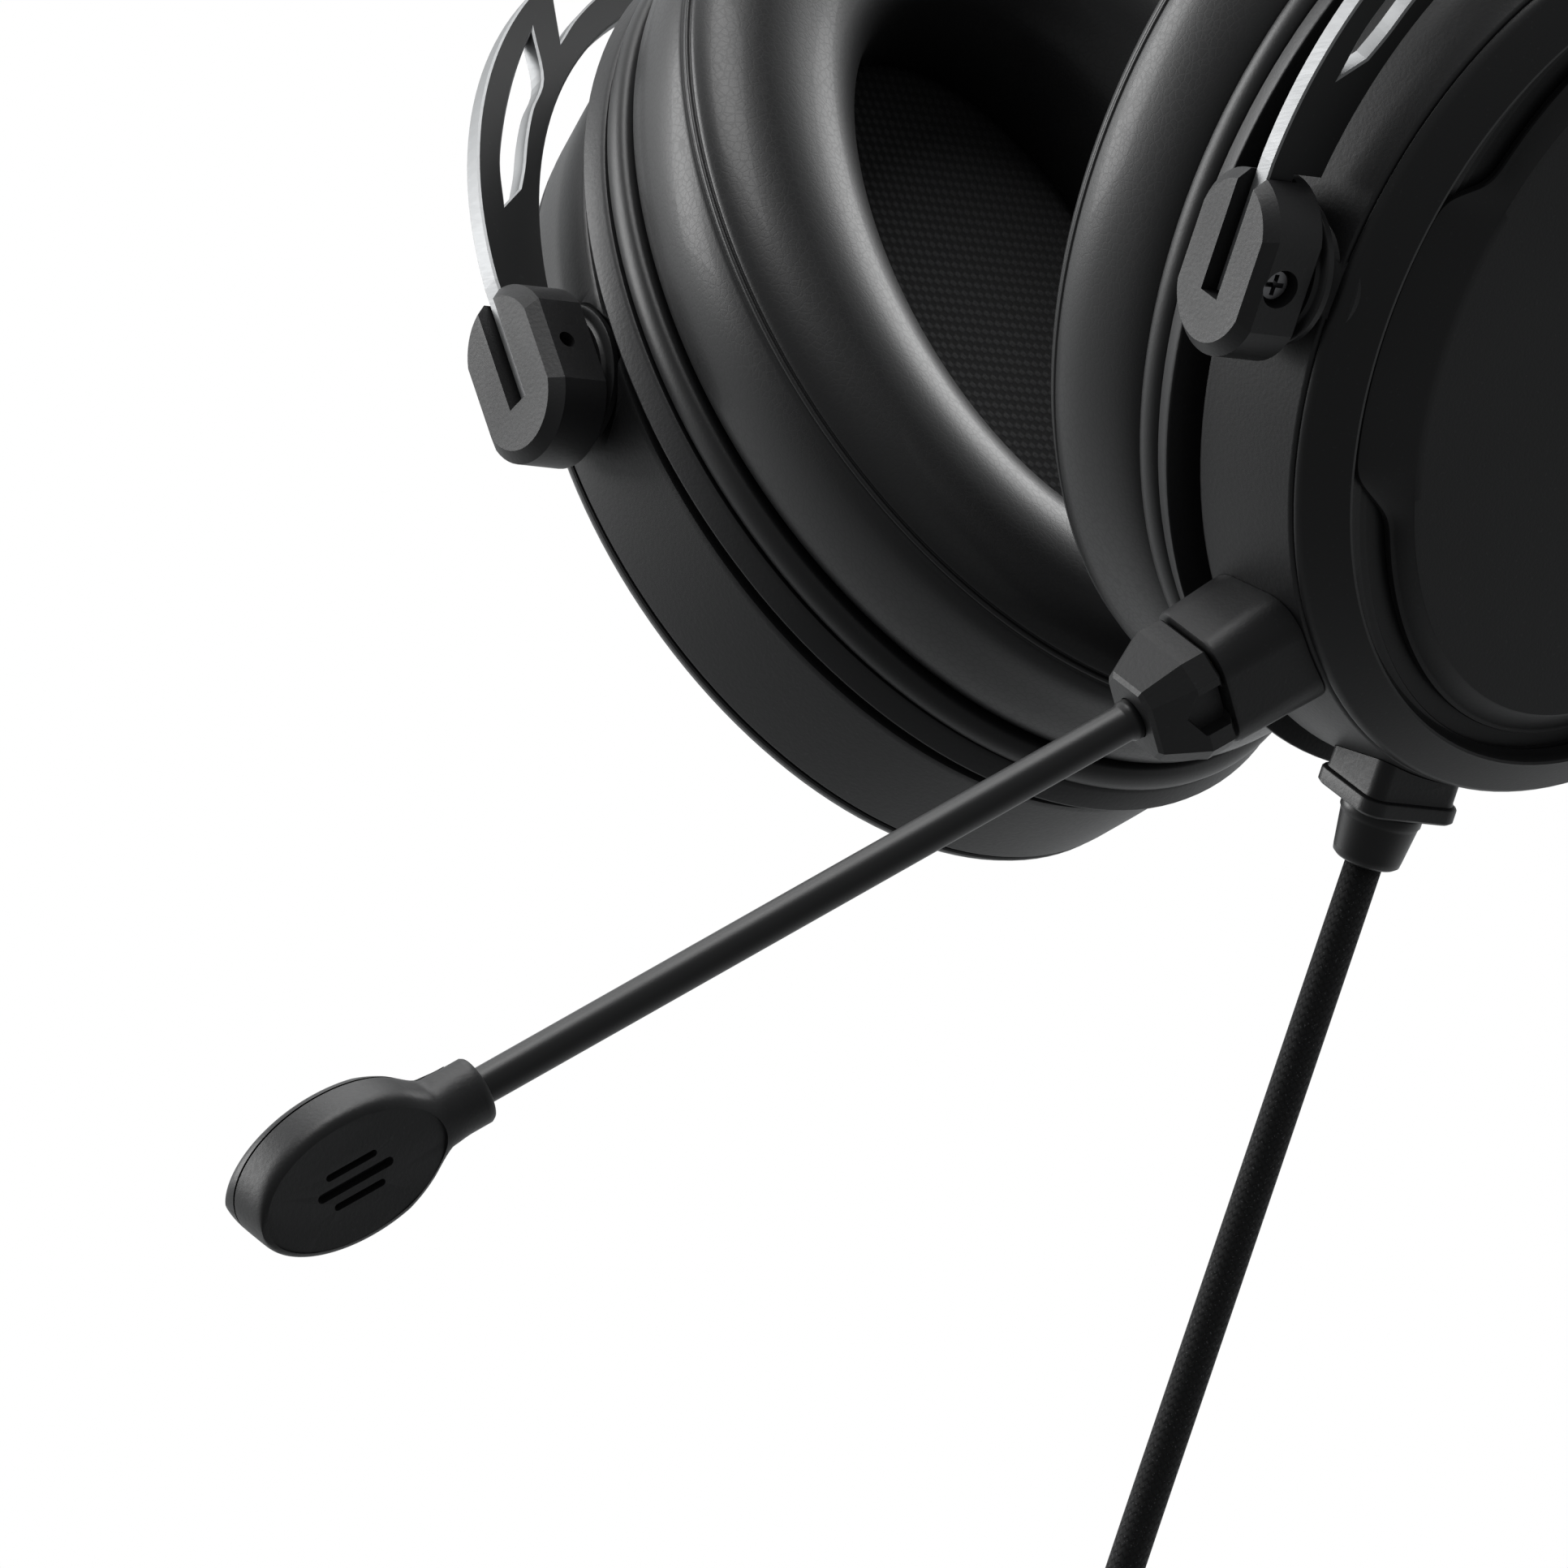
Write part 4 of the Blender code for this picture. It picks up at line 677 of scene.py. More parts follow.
floor_w = BODY_OUTER_W - BODY_FLOOR
body = ovals("cup_body", [
    (BODY_OUTER_W, grown(BODY_OUTER, -0.55)), (BODY_OUTER_W - 0.12, grown(BODY_OUTER, -0.2)),
    (BODY_OUTER_W - 0.45, grown(BODY_OUTER, 0.02)), (0.0, body_half(0.0)),
    (BODY_INNER_W + 0.9, body_half(BODY_INNER_W + 0.9)), (BODY_INNER_W + 0.3, grown(BODY_INNER, -0.25)),
    (BODY_INNER_W, grown(BODY_INNER, -0.8)), (BODY_INNER_W, grown(BODY_INNER, -BODY_WALL)),
    (floor_w, grown(body_half(floor_w), -BODY_WALL))])
humps = [turned("hump", [(8.6, 0.0), (8.6, 1.0), (7.4, 1.5), (6.7, 2.1), (6.3, 2.8), (6.1, HUMP_TOP - 37.1),
                         (5.9, HUMP_TOP - HUMP_FOOT)], (0, end * HUMP_FOOT, 0), (0, end, 0), 64)
         for end in (1, -1)]
carved(body, humps, "UNION")
seats = [turned("seat", [(DISC_R + 0.3, 0), (DISC_R + 0.3, 6)], (0, end * HUMP_TOP, 0), (0, end, 0), 64)
         for end in (1, -1)]
carved(body, seats)
pair(body, plastic, "cup", ["body_shell"])

disc_rows = [(2.4, -3.4), (2.4, 0.0), (DISC_R - 0.4, 0.0), (DISC_R, 0.3), (DISC_R, DISC_T - 0.75),
             (DISC_R - 0.25, DISC_T - 0.5), (DISC_R - 0.8, DISC_T - 0.42), (DISC_R - 1.0, DISC_T - 0.25),
             (DISC_R - 1.2, DISC_T), (3.6, DISC_T), (3.6, DISC_T + 1.2)]
for end_name, end in (("front", 1), ("rear", -1)):
    disc = turned(f"pivot_disc_{end_name}", disc_rows, (0, end * DISC_BACK, 0), (0, end, 0), 72)
    pair(disc, smooth_plastic, "cup", [f"pivot_disc_{end_name}"])


# Outer covers: a thin rim with a shadow gap to the body, a broad bevel up to a crest, and a sunk floor with a
# fine step round it, moulded in one and snapped on.
COVER_W, COVER_RIM, COVER_RIM_T = BODY_OUTER_W + 0.15, (39.1, 50.0), 1.45
COVER_BEVEL, COVER_RISE, COVER_FLOOR_W = 4.6, 2.5, BODY_OUTER_W + 1.6
STEP_OVAL = (31.5, 45.5)

crest = grown(COVER_RIM, -COVER_BEVEL)
crest_w = COVER_W + COVER_RIM_T + COVER_RISE
cover = ovals("cup_cover", [
    (COVER_W, grown(COVER_RIM, -0.8)), (COVER_W, grown(COVER_RIM, -0.45)),
    (COVER_W + 0.12, grown(COVER_RIM, -0.1)),
    (COVER_W + 0.35, COVER_RIM), (COVER_W + 0.65, grown(COVER_RIM, -0.05)),
    (COVER_W + 0.95, grown(COVER_RIM, -0.25)),
    (COVER_W + COVER_RIM_T, grown(COVER_RIM, -0.6)),
    (crest_w - 0.2, grown(crest, 0.35)), (crest_w, grown(crest, 0.05)), (crest_w - 0.05, grown(crest, -0.25)),
    (crest_w - 0.4, grown(crest, -0.45)), (COVER_FLOOR_W + 0.75, grown(crest, -0.95)),
    (COVER_FLOOR_W + 0.6, grown(STEP_OVAL, 1.0)), (COVER_FLOOR_W + 0.58, grown(STEP_OVAL, 0.12)),
    (COVER_FLOOR_W + 0.2, STEP_OVAL), (COVER_FLOOR_W + 0.18, grown(STEP_OVAL, -0.9)),
    (COVER_FLOOR_W, grown(STEP_OVAL, -1.0))])
pair(cover, smooth_plastic, "cup", ["outer_cover"], 30.0)


# Side plates: a raised oval with a wing at the front and rear that fills the recess, facets that fall from
# the middle to the wings, and round corners. A separate moulding, glued on.
PLATE_W, PLATE_T = COVER_FLOOR_W + 0.3, 3.4
PLATE_OVAL, FACET_OVAL = (28.5, 42.5), (27.0, 39.4)
WING_UP, WING_DOWN, WING_FLARE = 14.5, 16.5, 4.0
WING_REACH = grown(crest, -1.2)


def plate_edge(points_for_side=26):
    """The plate's outline as (forward, up) points round its middle, with rounded corners."""
    def at_height(half, up):
        return half[0] * math.sqrt(1 - (up / half[1]) ** 2)

    root_up, root_low = WING_UP + WING_FLARE * 0.6, -WING_DOWN - WING_FLARE
    half = [(0.0, PLATE_OVAL[1])]
    start = math.asin(root_up / PLATE_OVAL[1])
    half += [(PLATE_OVAL[0] * math.cos(t), PLATE_OVAL[1] * math.sin(t))
             for t in np.linspace(math.pi / 2, start, points_for_side)[1:]]
    half += [(at_height(WING_REACH, up), up) for up in np.linspace(WING_UP, -WING_DOWN, points_for_side)]
    start = math.asin(root_low / PLATE_OVAL[1])
    half += [(PLATE_OVAL[0] * math.cos(t), PLATE_OVAL[1] * math.sin(t))
             for t in np.linspace(start, -math.pi / 2, points_for_side)]
    edge = np.array(half + [(-a, b) for a, b in half[-2:0:-1]])
    closed = np.concatenate([edge, edge[:1]])
    gone = np.concatenate([[0], np.cumsum(np.linalg.norm(np.diff(closed, axis=0), axis=1))])
    at = np.linspace(0, gone[-1], 480, endpoint=False)
    even = np.stack([np.interp(at, gone, closed[:, k]) for k in (0, 1)], -1)
    for _ in range(14):
        even = 0.5 * even + 0.25 * (np.roll(even, 1, 0) + np.roll(even, -1, 0))
    return even


edge = plate_edge()
turn = np.arctan2(edge[:, 1] / FACET_OVAL[1], edge[:, 0] / FACET_OVAL[0])
facet = np.stack([FACET_OVAL[0] * np.cos(turn), FACET_OVAL[1] * np.sin(turn)], -1)
inward = -edge / np.linalg.norm(edge, axis=1)[:, None]


def plate_row(out, flat):
    return from_side(np.stack([np.full(len(flat), out), flat[:, 0], flat[:, 1] - OVAL_DROP], -1))


plate_rows = [plate_row(PLATE_W, edge + inward * 0.25), plate_row(PLATE_W + 0.2, edge),
              plate_row(PLATE_W + 0.75, edge), plate_row(PLATE_W + 1.0, edge + inward * 0.12),
              plate_row(PLATE_W + 1.12, edge + inward * 0.4)]
for share, out in ((0.12, 1.32), (0.5, 2.15), (0.9, 2.98), (0.97, 3.08), (1.0, 3.12)):
    plate_rows.append(plate_row(PLATE_W + out, (edge + inward * 0.4) * (1 - share) + facet * share))
for share, out in ((0.97, 3.16), (0.7, 3.32), (0.4, 3.38), (0.1, PLATE_T)):
    plate_rows.append(plate_row(PLATE_W + out, facet * share))
panel = skin("side_panel", plate_rows)
pair(panel, smooth_plastic, "cup", ["side_plate"], 24.0)


# Baffle flanges: the moulded ring on the head side of each cup that carries the driver, with a small round
# on its edges; the pad's mounting ring with its bead clips on to it.
FLANGE, FLANGE_W, FLANGE_T = (42.8, 55.0), -10.7, 2.9
LIP, LIP_W, LIP_T = (43.0, 55.8), -13.9, 3.7
SCRIM, SCRIM_T = (29.6, 42.6), 0.5
BODY_LIP = grown(BODY_INNER, -BODY_WALL - 0.5)

back_w = FLANGE_W - FLANGE_T
flange = ovals("cup_flange", [
    (back_w, grown(SCRIM, -6.0)), (back_w, grown(FLANGE, -0.3)), (back_w + 0.35, grown(FLANGE, 0.1)),
    (FLANGE_W - 0.4, grown(FLANGE, 0.7)), (FLANGE_W - 0.1, grown(FLANGE, 0.6)),
    (FLANGE_W, grown(FLANGE, 0.35)),
    (FLANGE_W, BODY_LIP), (BODY_INNER_W + 1.5, grown(BODY_LIP, -0.3)),
    (BODY_INNER_W + 1.5, grown(SCRIM, -6.0))],
    ring=True)
pair(flange, plastic, "cup", ["baffle"])

lip_end = LIP_W - LIP_T
opening = grown(SCRIM, 0.3)
bead_rows = [(LIP_W, opening), (LIP_W, grown(LIP, -1.6))]
for i in range(9):
    swing = math.pi * i / 8
    bead_rows.append((LIP_W - LIP_T / 2 + (LIP_T / 2 - 0.1) * math.cos(swing),
                      grown(LIP, -1.0 + 1.0 * math.sin(swing))))
bead_rows += [(lip_end, grown(LIP, -1.6)), (lip_end, opening)]
pad_mount = ovals("pad_mounting_ring", bead_rows, ring=True)
pair(pad_mount, smooth_plastic, "cup", ["pad_ring"], 45.0)


# Scrims: a dark open-weave cloth stretched over each driver inside the pad, glued at its edge. Its threads
# are about half a millimetre, in staggered rows.
WEAVE_PITCH = 1.05


def scrim_look():
    """Staggered knots of a coarse dark yarn."""
    look = Look("woven_scrim", 0.8, sheen=0.10)
    ahead_it, up_it = look.flat("flat")
    ahead = ahead_it * (2 * math.pi / (WEAVE_PITCH * MM))
    up = up_it * (2 * math.pi / (WEAVE_PITCH * 1.15 * MM))
    one, two = (ahead * 0.5 + up * 0.5).alone("SINE"), (ahead * 0.5 - up * 0.5).alone("SINE")
    knots = look.ease(one * two, -0.35, 0.75)
    fuzz = look.noise(6500.0, 2.0)
    broad = look.noise(45.0, 3.0)
    tone = look.between((0.0032, 0.0032, 0.0035), (0.016, 0.016, 0.017), knots * (0.6 + fuzz * 0.6))
    look.feed("Base Color", look.between(tone, (0.022, 0.022, 0.023), broad * 0.08))
    look.feed("Roughness", 0.92 - knots * 0.22)
    look.relief(knots + fuzz * 0.2, 0.00012, 0.8)
    return look


scrim_w = lip_end + 0.4
dish = [(scrim_w + SCRIM_T, 0.995), (scrim_w + 0.1, 1.0), (scrim_w, 0.99), (scrim_w + 0.02, 0.9),
        (scrim_w + 0.06, 0.6), (scrim_w + 0.08, 0.3), (scrim_w + 0.09, 0.03)]
scrim = ovals("scrim_cloth", [(out, (SCRIM[0] * share, SCRIM[1] * share)) for out, share in dish])
scrim_uv = scrim.data.uv_layers.new(name="flat")
for loop in scrim.data.loops:
    spot = scrim.data.vertices[loop.vertex_index].co
    scrim_uv.data[loop.index].uv = (-spot.y, spot.z / LEAN_COS)
pair(scrim, scrim_look(), "cup", ["scrim"], 45.0)


# Ear pads: thick foam rings in smooth black leatherette. The side panel runs from the mounting ring to a
# double seam, and the crown rolls over from there into the opening. A cloth simulation fills them a little.
PAD_W, PAD_SEAM_W, PAD_FACE_W = -17.9, -32.0, -37.6
PAD_SEAM, PAD_OPENING = (44.0, 57.4), (21.0, 34.0)
PAD_COLUMNS = 160
PAD_PRESSURE, PAD_FRAMES, PAD_MOVE = 350.0, 16, 0.8
LEATHER_PEBBLE = 0.85
# The seam's relief as (height, how far from it, how wide): its cord, a groove on each side and a broad dip
SEAM_RELIEF = ((0.08, 0.0, 0.24), (-0.34, 0.46, 0.15), (-0.22, -0.46, 0.15), (-0.10, 0.0, 0.9))
SEAM_STEPS = (0.0, 0.04, 0.07, 0.10, 0.13, 0.17, 0.21, 0.26, 0.33, 0.42, 0.55, 0.75)


def leather_look():
    """Smooth leatherette: a faint pebble, hairline creases, and a soft shine that varies with handling."""
    look = Look("black_leatherette", 0.40, coat=0.06)
    cells = look.node("ShaderNodeTexVoronoi", {"feature": "DISTANCE_TO_EDGE"},
                      {"Vector": look.place, "Scale": 1.0 / (LEATHER_PEBBLE * MM)}, out="Distance")
    fine = look.noise(3800.0, 2.0)
    broad = look.noise(30.0, 4.0)
    grain = look.ease(cells, 0.0, 0.16)
    tone = look.between((0.0115, 0.0115, 0.012), (0.0165, 0.0165, 0.0172), broad)
    look.feed("Base Color", look.between([0.008, 0.008, 0.0085], tone, 0.55 + grain * 0.45))
    look.feed("Roughness", 0.365 + (broad - 0.5) * 0.12 + (fine - 0.5) * 0.05 + (1.0 - grain) * 0.05)
    look.relief(grain + fine * 0.35, 0.000008, 0.4)
    return look


def swollen(piece, hold, pressure, frames, most):
    """Blows a closed mesh up as cloth with some points held, and caps how far a point may move."""
    mesh = piece.data
    before = read_points(mesh)
    group = piece.vertex_groups.new(name="held")
    for index, weight in enumerate(hold):
        if weight > 0:
            group.add([index], float(weight), "REPLACE")
    step = piece.modifiers.new("foam", "CLOTH")
    cloth = step.settings
    cloth.quality, cloth.mass = 6, 0.003
    cloth.tension_stiffness = cloth.compression_stiffness = 12.0
    cloth.shear_stiffness, cloth.bending_stiffness = 6.0, 2.0
    cloth.use_pressure, cloth.uniform_pressure_force = True, pressure
    cloth.vertex_group_mass = "held"
    cloth.effector_weights.gravity = 0.0
    step.point_cache.frame_start, step.point_cache.frame_end = 1, frames
    scene = bpy.context.scene
    for number in range(1, frames + 1):
        scene.frame_set(number)
    seen = piece.evaluated_get(bpy.context.evaluated_depsgraph_get())
    after = read_points(seen.data)
    piece.modifiers.clear()
    scene.frame_set(1)
    moved = after - before
    long = np.linalg.norm(moved, axis=1)[:, None] + 1e-9
    return before + moved / long * np.minimum(long, most * MM)


pad_back, mid_w = grown(LIP, -1.3), (PAD_W + PAD_SEAM_W) / 2
side_panel = [(PAD_W, *grown(pad_back, -1.5)), (PAD_W - 0.15, *grown(pad_back, -0.2)),
              (PAD_W - 1.4, *grown(pad_back, 0.8)), (PAD_W - 4.2, *grown(pad_back, 1.75)),
              (mid_w - 1.5, *grown(pad_back, 2.6)), (PAD_SEAM_W + 2.4, *grown(PAD_SEAM, 0.35)),
              (PAD_SEAM_W, *PAD_SEAM)]
crown = [(PAD_SEAM_W, *PAD_SEAM), (PAD_SEAM_W - 2.2, *grown(PAD_SEAM, -1.2)),
         (PAD_FACE_W + 1.5, *grown(PAD_SEAM, -3.9)),
         (PAD_FACE_W + 0.1, *grown(PAD_SEAM, -8.2)), (PAD_FACE_W + 0.3, *grown(PAD_OPENING, 10.0)),
         (PAD_FACE_W + 1.7, *grown(PAD_OPENING, 6.2)), (PAD_FACE_W + 4.2, *grown(PAD_OPENING, 2.9)),
         (PAD_FACE_W + 8.0, *grown(PAD_OPENING, 0.8)), (PAD_W - 4.5, *PAD_OPENING),
         (PAD_W - 0.3, *grown(PAD_OPENING, 0.6)),
         (PAD_W, *grown(PAD_OPENING, 2.0))]
panel_rows, crown_rows = through(side_panel, 2), through(crown, 3)
seam_at = len(panel_rows) - 1
pad_rows = np.concatenate([panel_rows, crown_rows[1:]])
pad_rest = np.stack([oval(out, (a, b), PAD_COLUMNS) for out, a, b in pad_rows])
pad = skin("ear_pad", from_side(pad_rest), ring=True)
row_hold = np.zeros(len(pad_rows))
row_hold[[0, 1, seam_at, -1, -2, -3]] = 1.0
row_hold[[seam_at - 1, seam_at + 1]] = 0.6
pad_hold = np.repeat(row_hold, PAD_COLUMNS)
pad_shape = swollen(pad, pad_hold, PAD_PRESSURE, PAD_FRAMES, PAD_MOVE).reshape(len(pad_rows), PAD_COLUMNS, 3)
bpy.data.objects.remove(pad)
for _ in range(2):                              # foam evens out what the cloth leaves round the ring
    pad_shape = 0.5 * pad_shape + 0.25 * (np.roll(pad_shape, 1, 1) + np.roll(pad_shape, -1, 1))


def rows_at(shape, at):
    """Rows of a stack of points at fractional places between its rows, on a smooth line."""
    count = len(shape)
    made = []
    for value in at:
        i = min(int(value), count - 2)
        t = value - i
        made.append(spline(shape[max(i - 1, 0)], shape[i], shape[i + 1], shape[min(i + 2, count - 1)], t))
    return np.stack(made)


dense = np.arange(0, (len(pad_rows) - 1) * 2 + 1) / 2
near_seam = np.concatenate([seam_at - np.array(SEAM_STEPS[:0:-1]), seam_at + np.array(SEAM_STEPS)])
spots = np.unique(np.round(np.concatenate([dense[np.abs(dense - seam_at) > 0.8], near_seam]), 4))
fine_pad = rows_at(pad_shape, spots)
along = np.gradient(fine_pad, axis=0)
round_pad = np.roll(fine_pad, -1, 1) - np.roll(fine_pad, 1, 1)
pad_normal = np.cross(round_pad, along)
pad_normal /= np.linalg.norm(pad_normal, axis=2)[:, :, None]
pad_centre = fine_pad.mean(axis=(0, 1))
seam_row = int(np.searchsorted(spots, seam_at))
if np.einsum("ij,ij->i", pad_normal[seam_row], fine_pad[seam_row] - pad_centre).mean() < 0:
    pad_normal = -pad_normal
gap = np.linalg.norm(fine_pad - fine_pad[seam_row][None], axis=2) / MM * np.sign(spots - seam_at)[:, None]
pipe = sum(height * np.exp(-((gap - far) / wide) ** 2) for height, far, wide in SEAM_RELIEF)
fine_pad = fine_pad + pad_normal * (pipe * MM)[:, :, None]
pad = skin("ear_pad_cover", fine_pad, ring=True)
pad.data.shade_smooth()
leather = leather_look()
for pad_side in pair(pad, leather, "cup", ["ear_pad"], None):
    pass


# Yoke forks: flat aluminium plates that straddle each cup, cut with openings on each arm. Their faces are
# coated black; the cut edges are milled bright with a small chamfer.
FORK_T, FORK_CHAMFER = 2.4, 0.22
FORK_OUTER, FORK_INNER, FORK_EDGE = (48.0, 54.0, 8.0), (41.7, 51.8, 2.0), 47.9
TONGUE_W, TONGUE_DOWN = 3.3, 3.5
STEM_HALF, STEM_TOP = 8.5, 67.5
BLOCK_HALF_W, BLOCK_HALF_V, BLOCK_ARC_R = 6.85, 10.0, 7.2
# Openings of one arm as (forward, up) corners: one beside the cup, one under the stem
FORK_WINDOWS = (
    ((43.2, 21.6), (41.9, 27.0), (39.6, 32.3), (36.9, 37.3), (34.1, 41.7), (31.5, 45.2),
     (32.4, 38.9), (35.2, 34.7), (37.3, 30.7), (39.0, 26.8), (40.5, 23.9)),
    ((28.0, 44.4), (27.0, 50.0), (22.4, 54.6), (17.0, 57.6), (11.6, 59.4),
     (12.0, 56.2), (16.2, 54.0), (20.9, 51.0), (25.0, 47.6)),
)
WINDOW_SHARP = ((0, 5, 10), (0, 1, 4, 5))       # corners that stay sharp; the others lie on smooth edges
RIVET_V, RIVET_HOLE_R = 61.3, 1.8


def fork_edge(steps=40):
    """The fork's outline as (forward, up) points of one closed loop."""
    half, height, centre = FORK_OUTER
    turn = np.linspace(math.acos(FORK_EDGE / half), math.acos(STEM_HALF / half), steps)
    outer = np.stack([half * np.cos(turn), centre + height * np.sin(turn)], -1)
    half, height, centre = FORK_INNER
    shoulder = BLOCK_HALF_V + 0.5
    turn = np.linspace(math.asin((shoulder - centre) / height), math.pi / 2, steps)
    inner = np.stack([half * np.cos(turn), centre + height * np.sin(turn)], -1)
    tongue = [(FORK_EDGE - TONGUE_W, shoulder), (FORK_EDGE - TONGUE_W, -TONGUE_DOWN),
              (FORK_EDGE, -TONGUE_DOWN)]
    arm = np.concatenate([inner[::-1], tongue, outer, [(STEM_HALF, STEM_TOP)]])
    other = arm[::-1][:-1] * (-1, 1)
    return np.concatenate([arm, other])


def eased(corners, sharp, parts=5):
    """A closed outline through its corners, smooth between those that stay sharp."""
    corners, made = np.array(corners), []
    for first, last in zip(sharp, (*sharp[1:], sharp[0] + len(corners))):
        run = corners[np.arange(first, last + 1) % len(corners)]
        made.append(through(run, parts)[:-1] if len(run) > 2 else run[:-1])
    return np.concatenate(made)


def plated(name, outlines, thickness, chamfer, place):
    """A plate from closed outlines, the first its edge and the others its holes, with chamfered edges."""
    curve = bpy.data.curves.new(name, "CURVE")
    curve.dimensions, curve.fill_mode = "2D", "BOTH"
    curve.extrude = (thickness / 2 - chamfer) * MM
    curve.bevel_depth, curve.bevel_resolution, curve.offset = chamfer * MM, 0, -chamfer * MM
    for outline in outlines:
        spline = curve.splines.new("POLY")
        spline.points.add(len(outline) - 1)
        spline.use_cyclic_u = True
        for point, (a, b) in zip(spline.points, outline):
            point.co = (a * MM, b * MM, 0.0, 1.0)
    drawn = placed(name, curve)
    bpy.context.view_layer.update()
    mesh = bpy.data.meshes.new_from_object(drawn.evaluated_get(bpy.context.evaluated_depsgraph_get()))
    bpy.data.objects.remove(drawn)
    mesh.vertices.foreach_set("co", place(read_points(mesh) / MM).astype(np.float32).ravel())
    mesh.materials.clear()
    face_out(mesh)
    return placed(name, mesh)


def disc_outline(ahead, up, radius, steps=32):
    turn = full_turn(steps)
    return np.stack([ahead + radius * np.cos(turn), up + radius * np.sin(turn)], -1)


def upright_plate(spots):
    return from_side(np.stack([spots[:, 2], spots[:, 0], spots[:, 1]], -1))


coated = moulded_look("black_coated_aluminium", (0.014, 0.0145, 0.015), 0.50, 0.12, 0.000008, wear=0.0)
bright = metal_look("milled_aluminium", (0.36, 0.365, 0.37), 0.50, (1.0, 1.0, 14.0), 700.0)
windows = [eased(corners, sharp) for corners, sharp in zip(FORK_WINDOWS, WINDOW_SHARP)]
windows += [window * (-1, 1) for window in windows]
fork = plated("yoke_plate", [fork_edge(), *windows, disc_outline(0, RIVET_V, RIVET_HOLE_R)],
              FORK_T, FORK_CHAMFER, upright_plate)
fork.data.materials.append(coated.material)
fork.data.materials.append(bright.material)
across_fork = Vector((LEAN_COS, 0, -LEAN_SIN))
for face in fork.data.polygons:
    face.material_index = 0 if abs(face.normal @ across_fork) > 0.95 else 1
for item in pair(fork, None, "yoke", ["yoke_fork"], None):
    item.data.shade_flat()


# Pivot blocks: black blocks with arched ends and a planar chamfer, slotted to grip the fork's tongue, with a
# screw through each from the outer side. The cup turns on the trunnion behind them.
BLOCK_FRONT, BLOCK_DEPTH, BLOCK_CHAMFER = 49.5, 6.9, 1.25
BLOCK_BACK = BLOCK_FRONT - BLOCK_DEPTH
SLOT_FLOOR, SCREW_U = FORK_EDGE - TONGUE_W - 0.3, FORK_EDGE - TONGUE_W / 2
SCREW_HEAD_R, SCREW_HEAD_T, SCREW_SHANK_R, SCREW_RECESS = 2.0, 1.4, 0.85, 1.2


def block_row(ahead, inset, steps=22):
    """The block's outline at one depth, drawn in by so many millimetres."""
    half_turn = math.asin(BLOCK_HALF_W / BLOCK_ARC_R)
    points = []
    for flip in (1, -1):
        for turn in np.linspace(-half_turn, half_turn, steps):
            points.append((BLOCK_ARC_R * math.sin(turn * flip),
                           flip * (BLOCK_HALF_V - BLOCK_ARC_R + BLOCK_ARC_R * math.cos(turn * flip))))
    points = np.array(points) * (1 - inset / BLOCK_HALF_W, 1 - inset / BLOCK_HALF_V)
    return np.stack([points[:, 0], np.full(len(points), ahead), points[:, 1]], -1)


def brick(name, low, high):
    """A box between two side frame corners."""
    rows = [[(low[0], ahead, low[2]), (high[0], ahead, low[2]), (high[0], ahead, high[2]),
             (low[0], ahead, high[2])] for ahead in (low[1], high[1])]
    return skin(name, from_side(rows))


for end_name, end in (("front", 1), ("rear", -1)):
    block = skin(f"pivot_block_{end_name}", from_side([
        block_row(end * BLOCK_BACK, 0.3), block_row(end * (BLOCK_BACK + 0.3), 0.0),
        block_row(end * (BLOCK_FRONT - BLOCK_CHAMFER), 0.0), block_row(end * BLOCK_FRONT, BLOCK_CHAMFER)]))
    slot_span = sorted((end * SLOT_FLOOR, end * (BLOCK_FRONT + 2)))
    slot = brick("slot", (-FORK_T / 2 - 0.3, slot_span[0], -TONGUE_DOWN - 0.3),
                 (FORK_T / 2 + 0.3, slot_span[1], BLOCK_HALF_V + 2))
    socket = turned("socket", [(3.9, 0), (3.9, 2.3)], (0, end * (BLOCK_BACK - 1), 0), (0, end, 0), 40)
    head_w = BLOCK_HALF_W - SCREW_RECESS - SCREW_HEAD_T
    head_hole = turned("head_hole", [(SCREW_HEAD_R + 0.1, 0), (SCREW_HEAD_R + 0.1, 5)],
                       (head_w, end * SCREW_U, 0), (1, 0, 0), 40)
    shank_hole = turned("shank_hole", [(SCREW_SHANK_R + 0.1, 0), (SCREW_SHANK_R + 0.1, 20)],
                        (-BLOCK_HALF_W - 3, end * SCREW_U, 0), (1, 0, 0), 24)
    carved(block, [slot, socket, head_hole, shank_hole])
    pair(block, plastic, "yoke", [f"pivot_block_{end_name}"], 12.0)


# Screws: small cross-recessed machine screws with a low domed head, two through the pivot blocks of each
# yoke and one in the inner face of each arm cap. One pattern of nodes places and cuts them all.
CROSS_L, CROSS_W, CROSS_DEEP = 2.3, 0.55, 0.8
SCREW_SHANK_L, SHANK_DOWN = 9.5, 0.48           # its length, and the share of it that its middle lies down
HEAD_SIDE, DOME_TOP = 0.72, 0.78                # shares of the head: its straight side, the dome's top radius
FACET_R = 1e-5


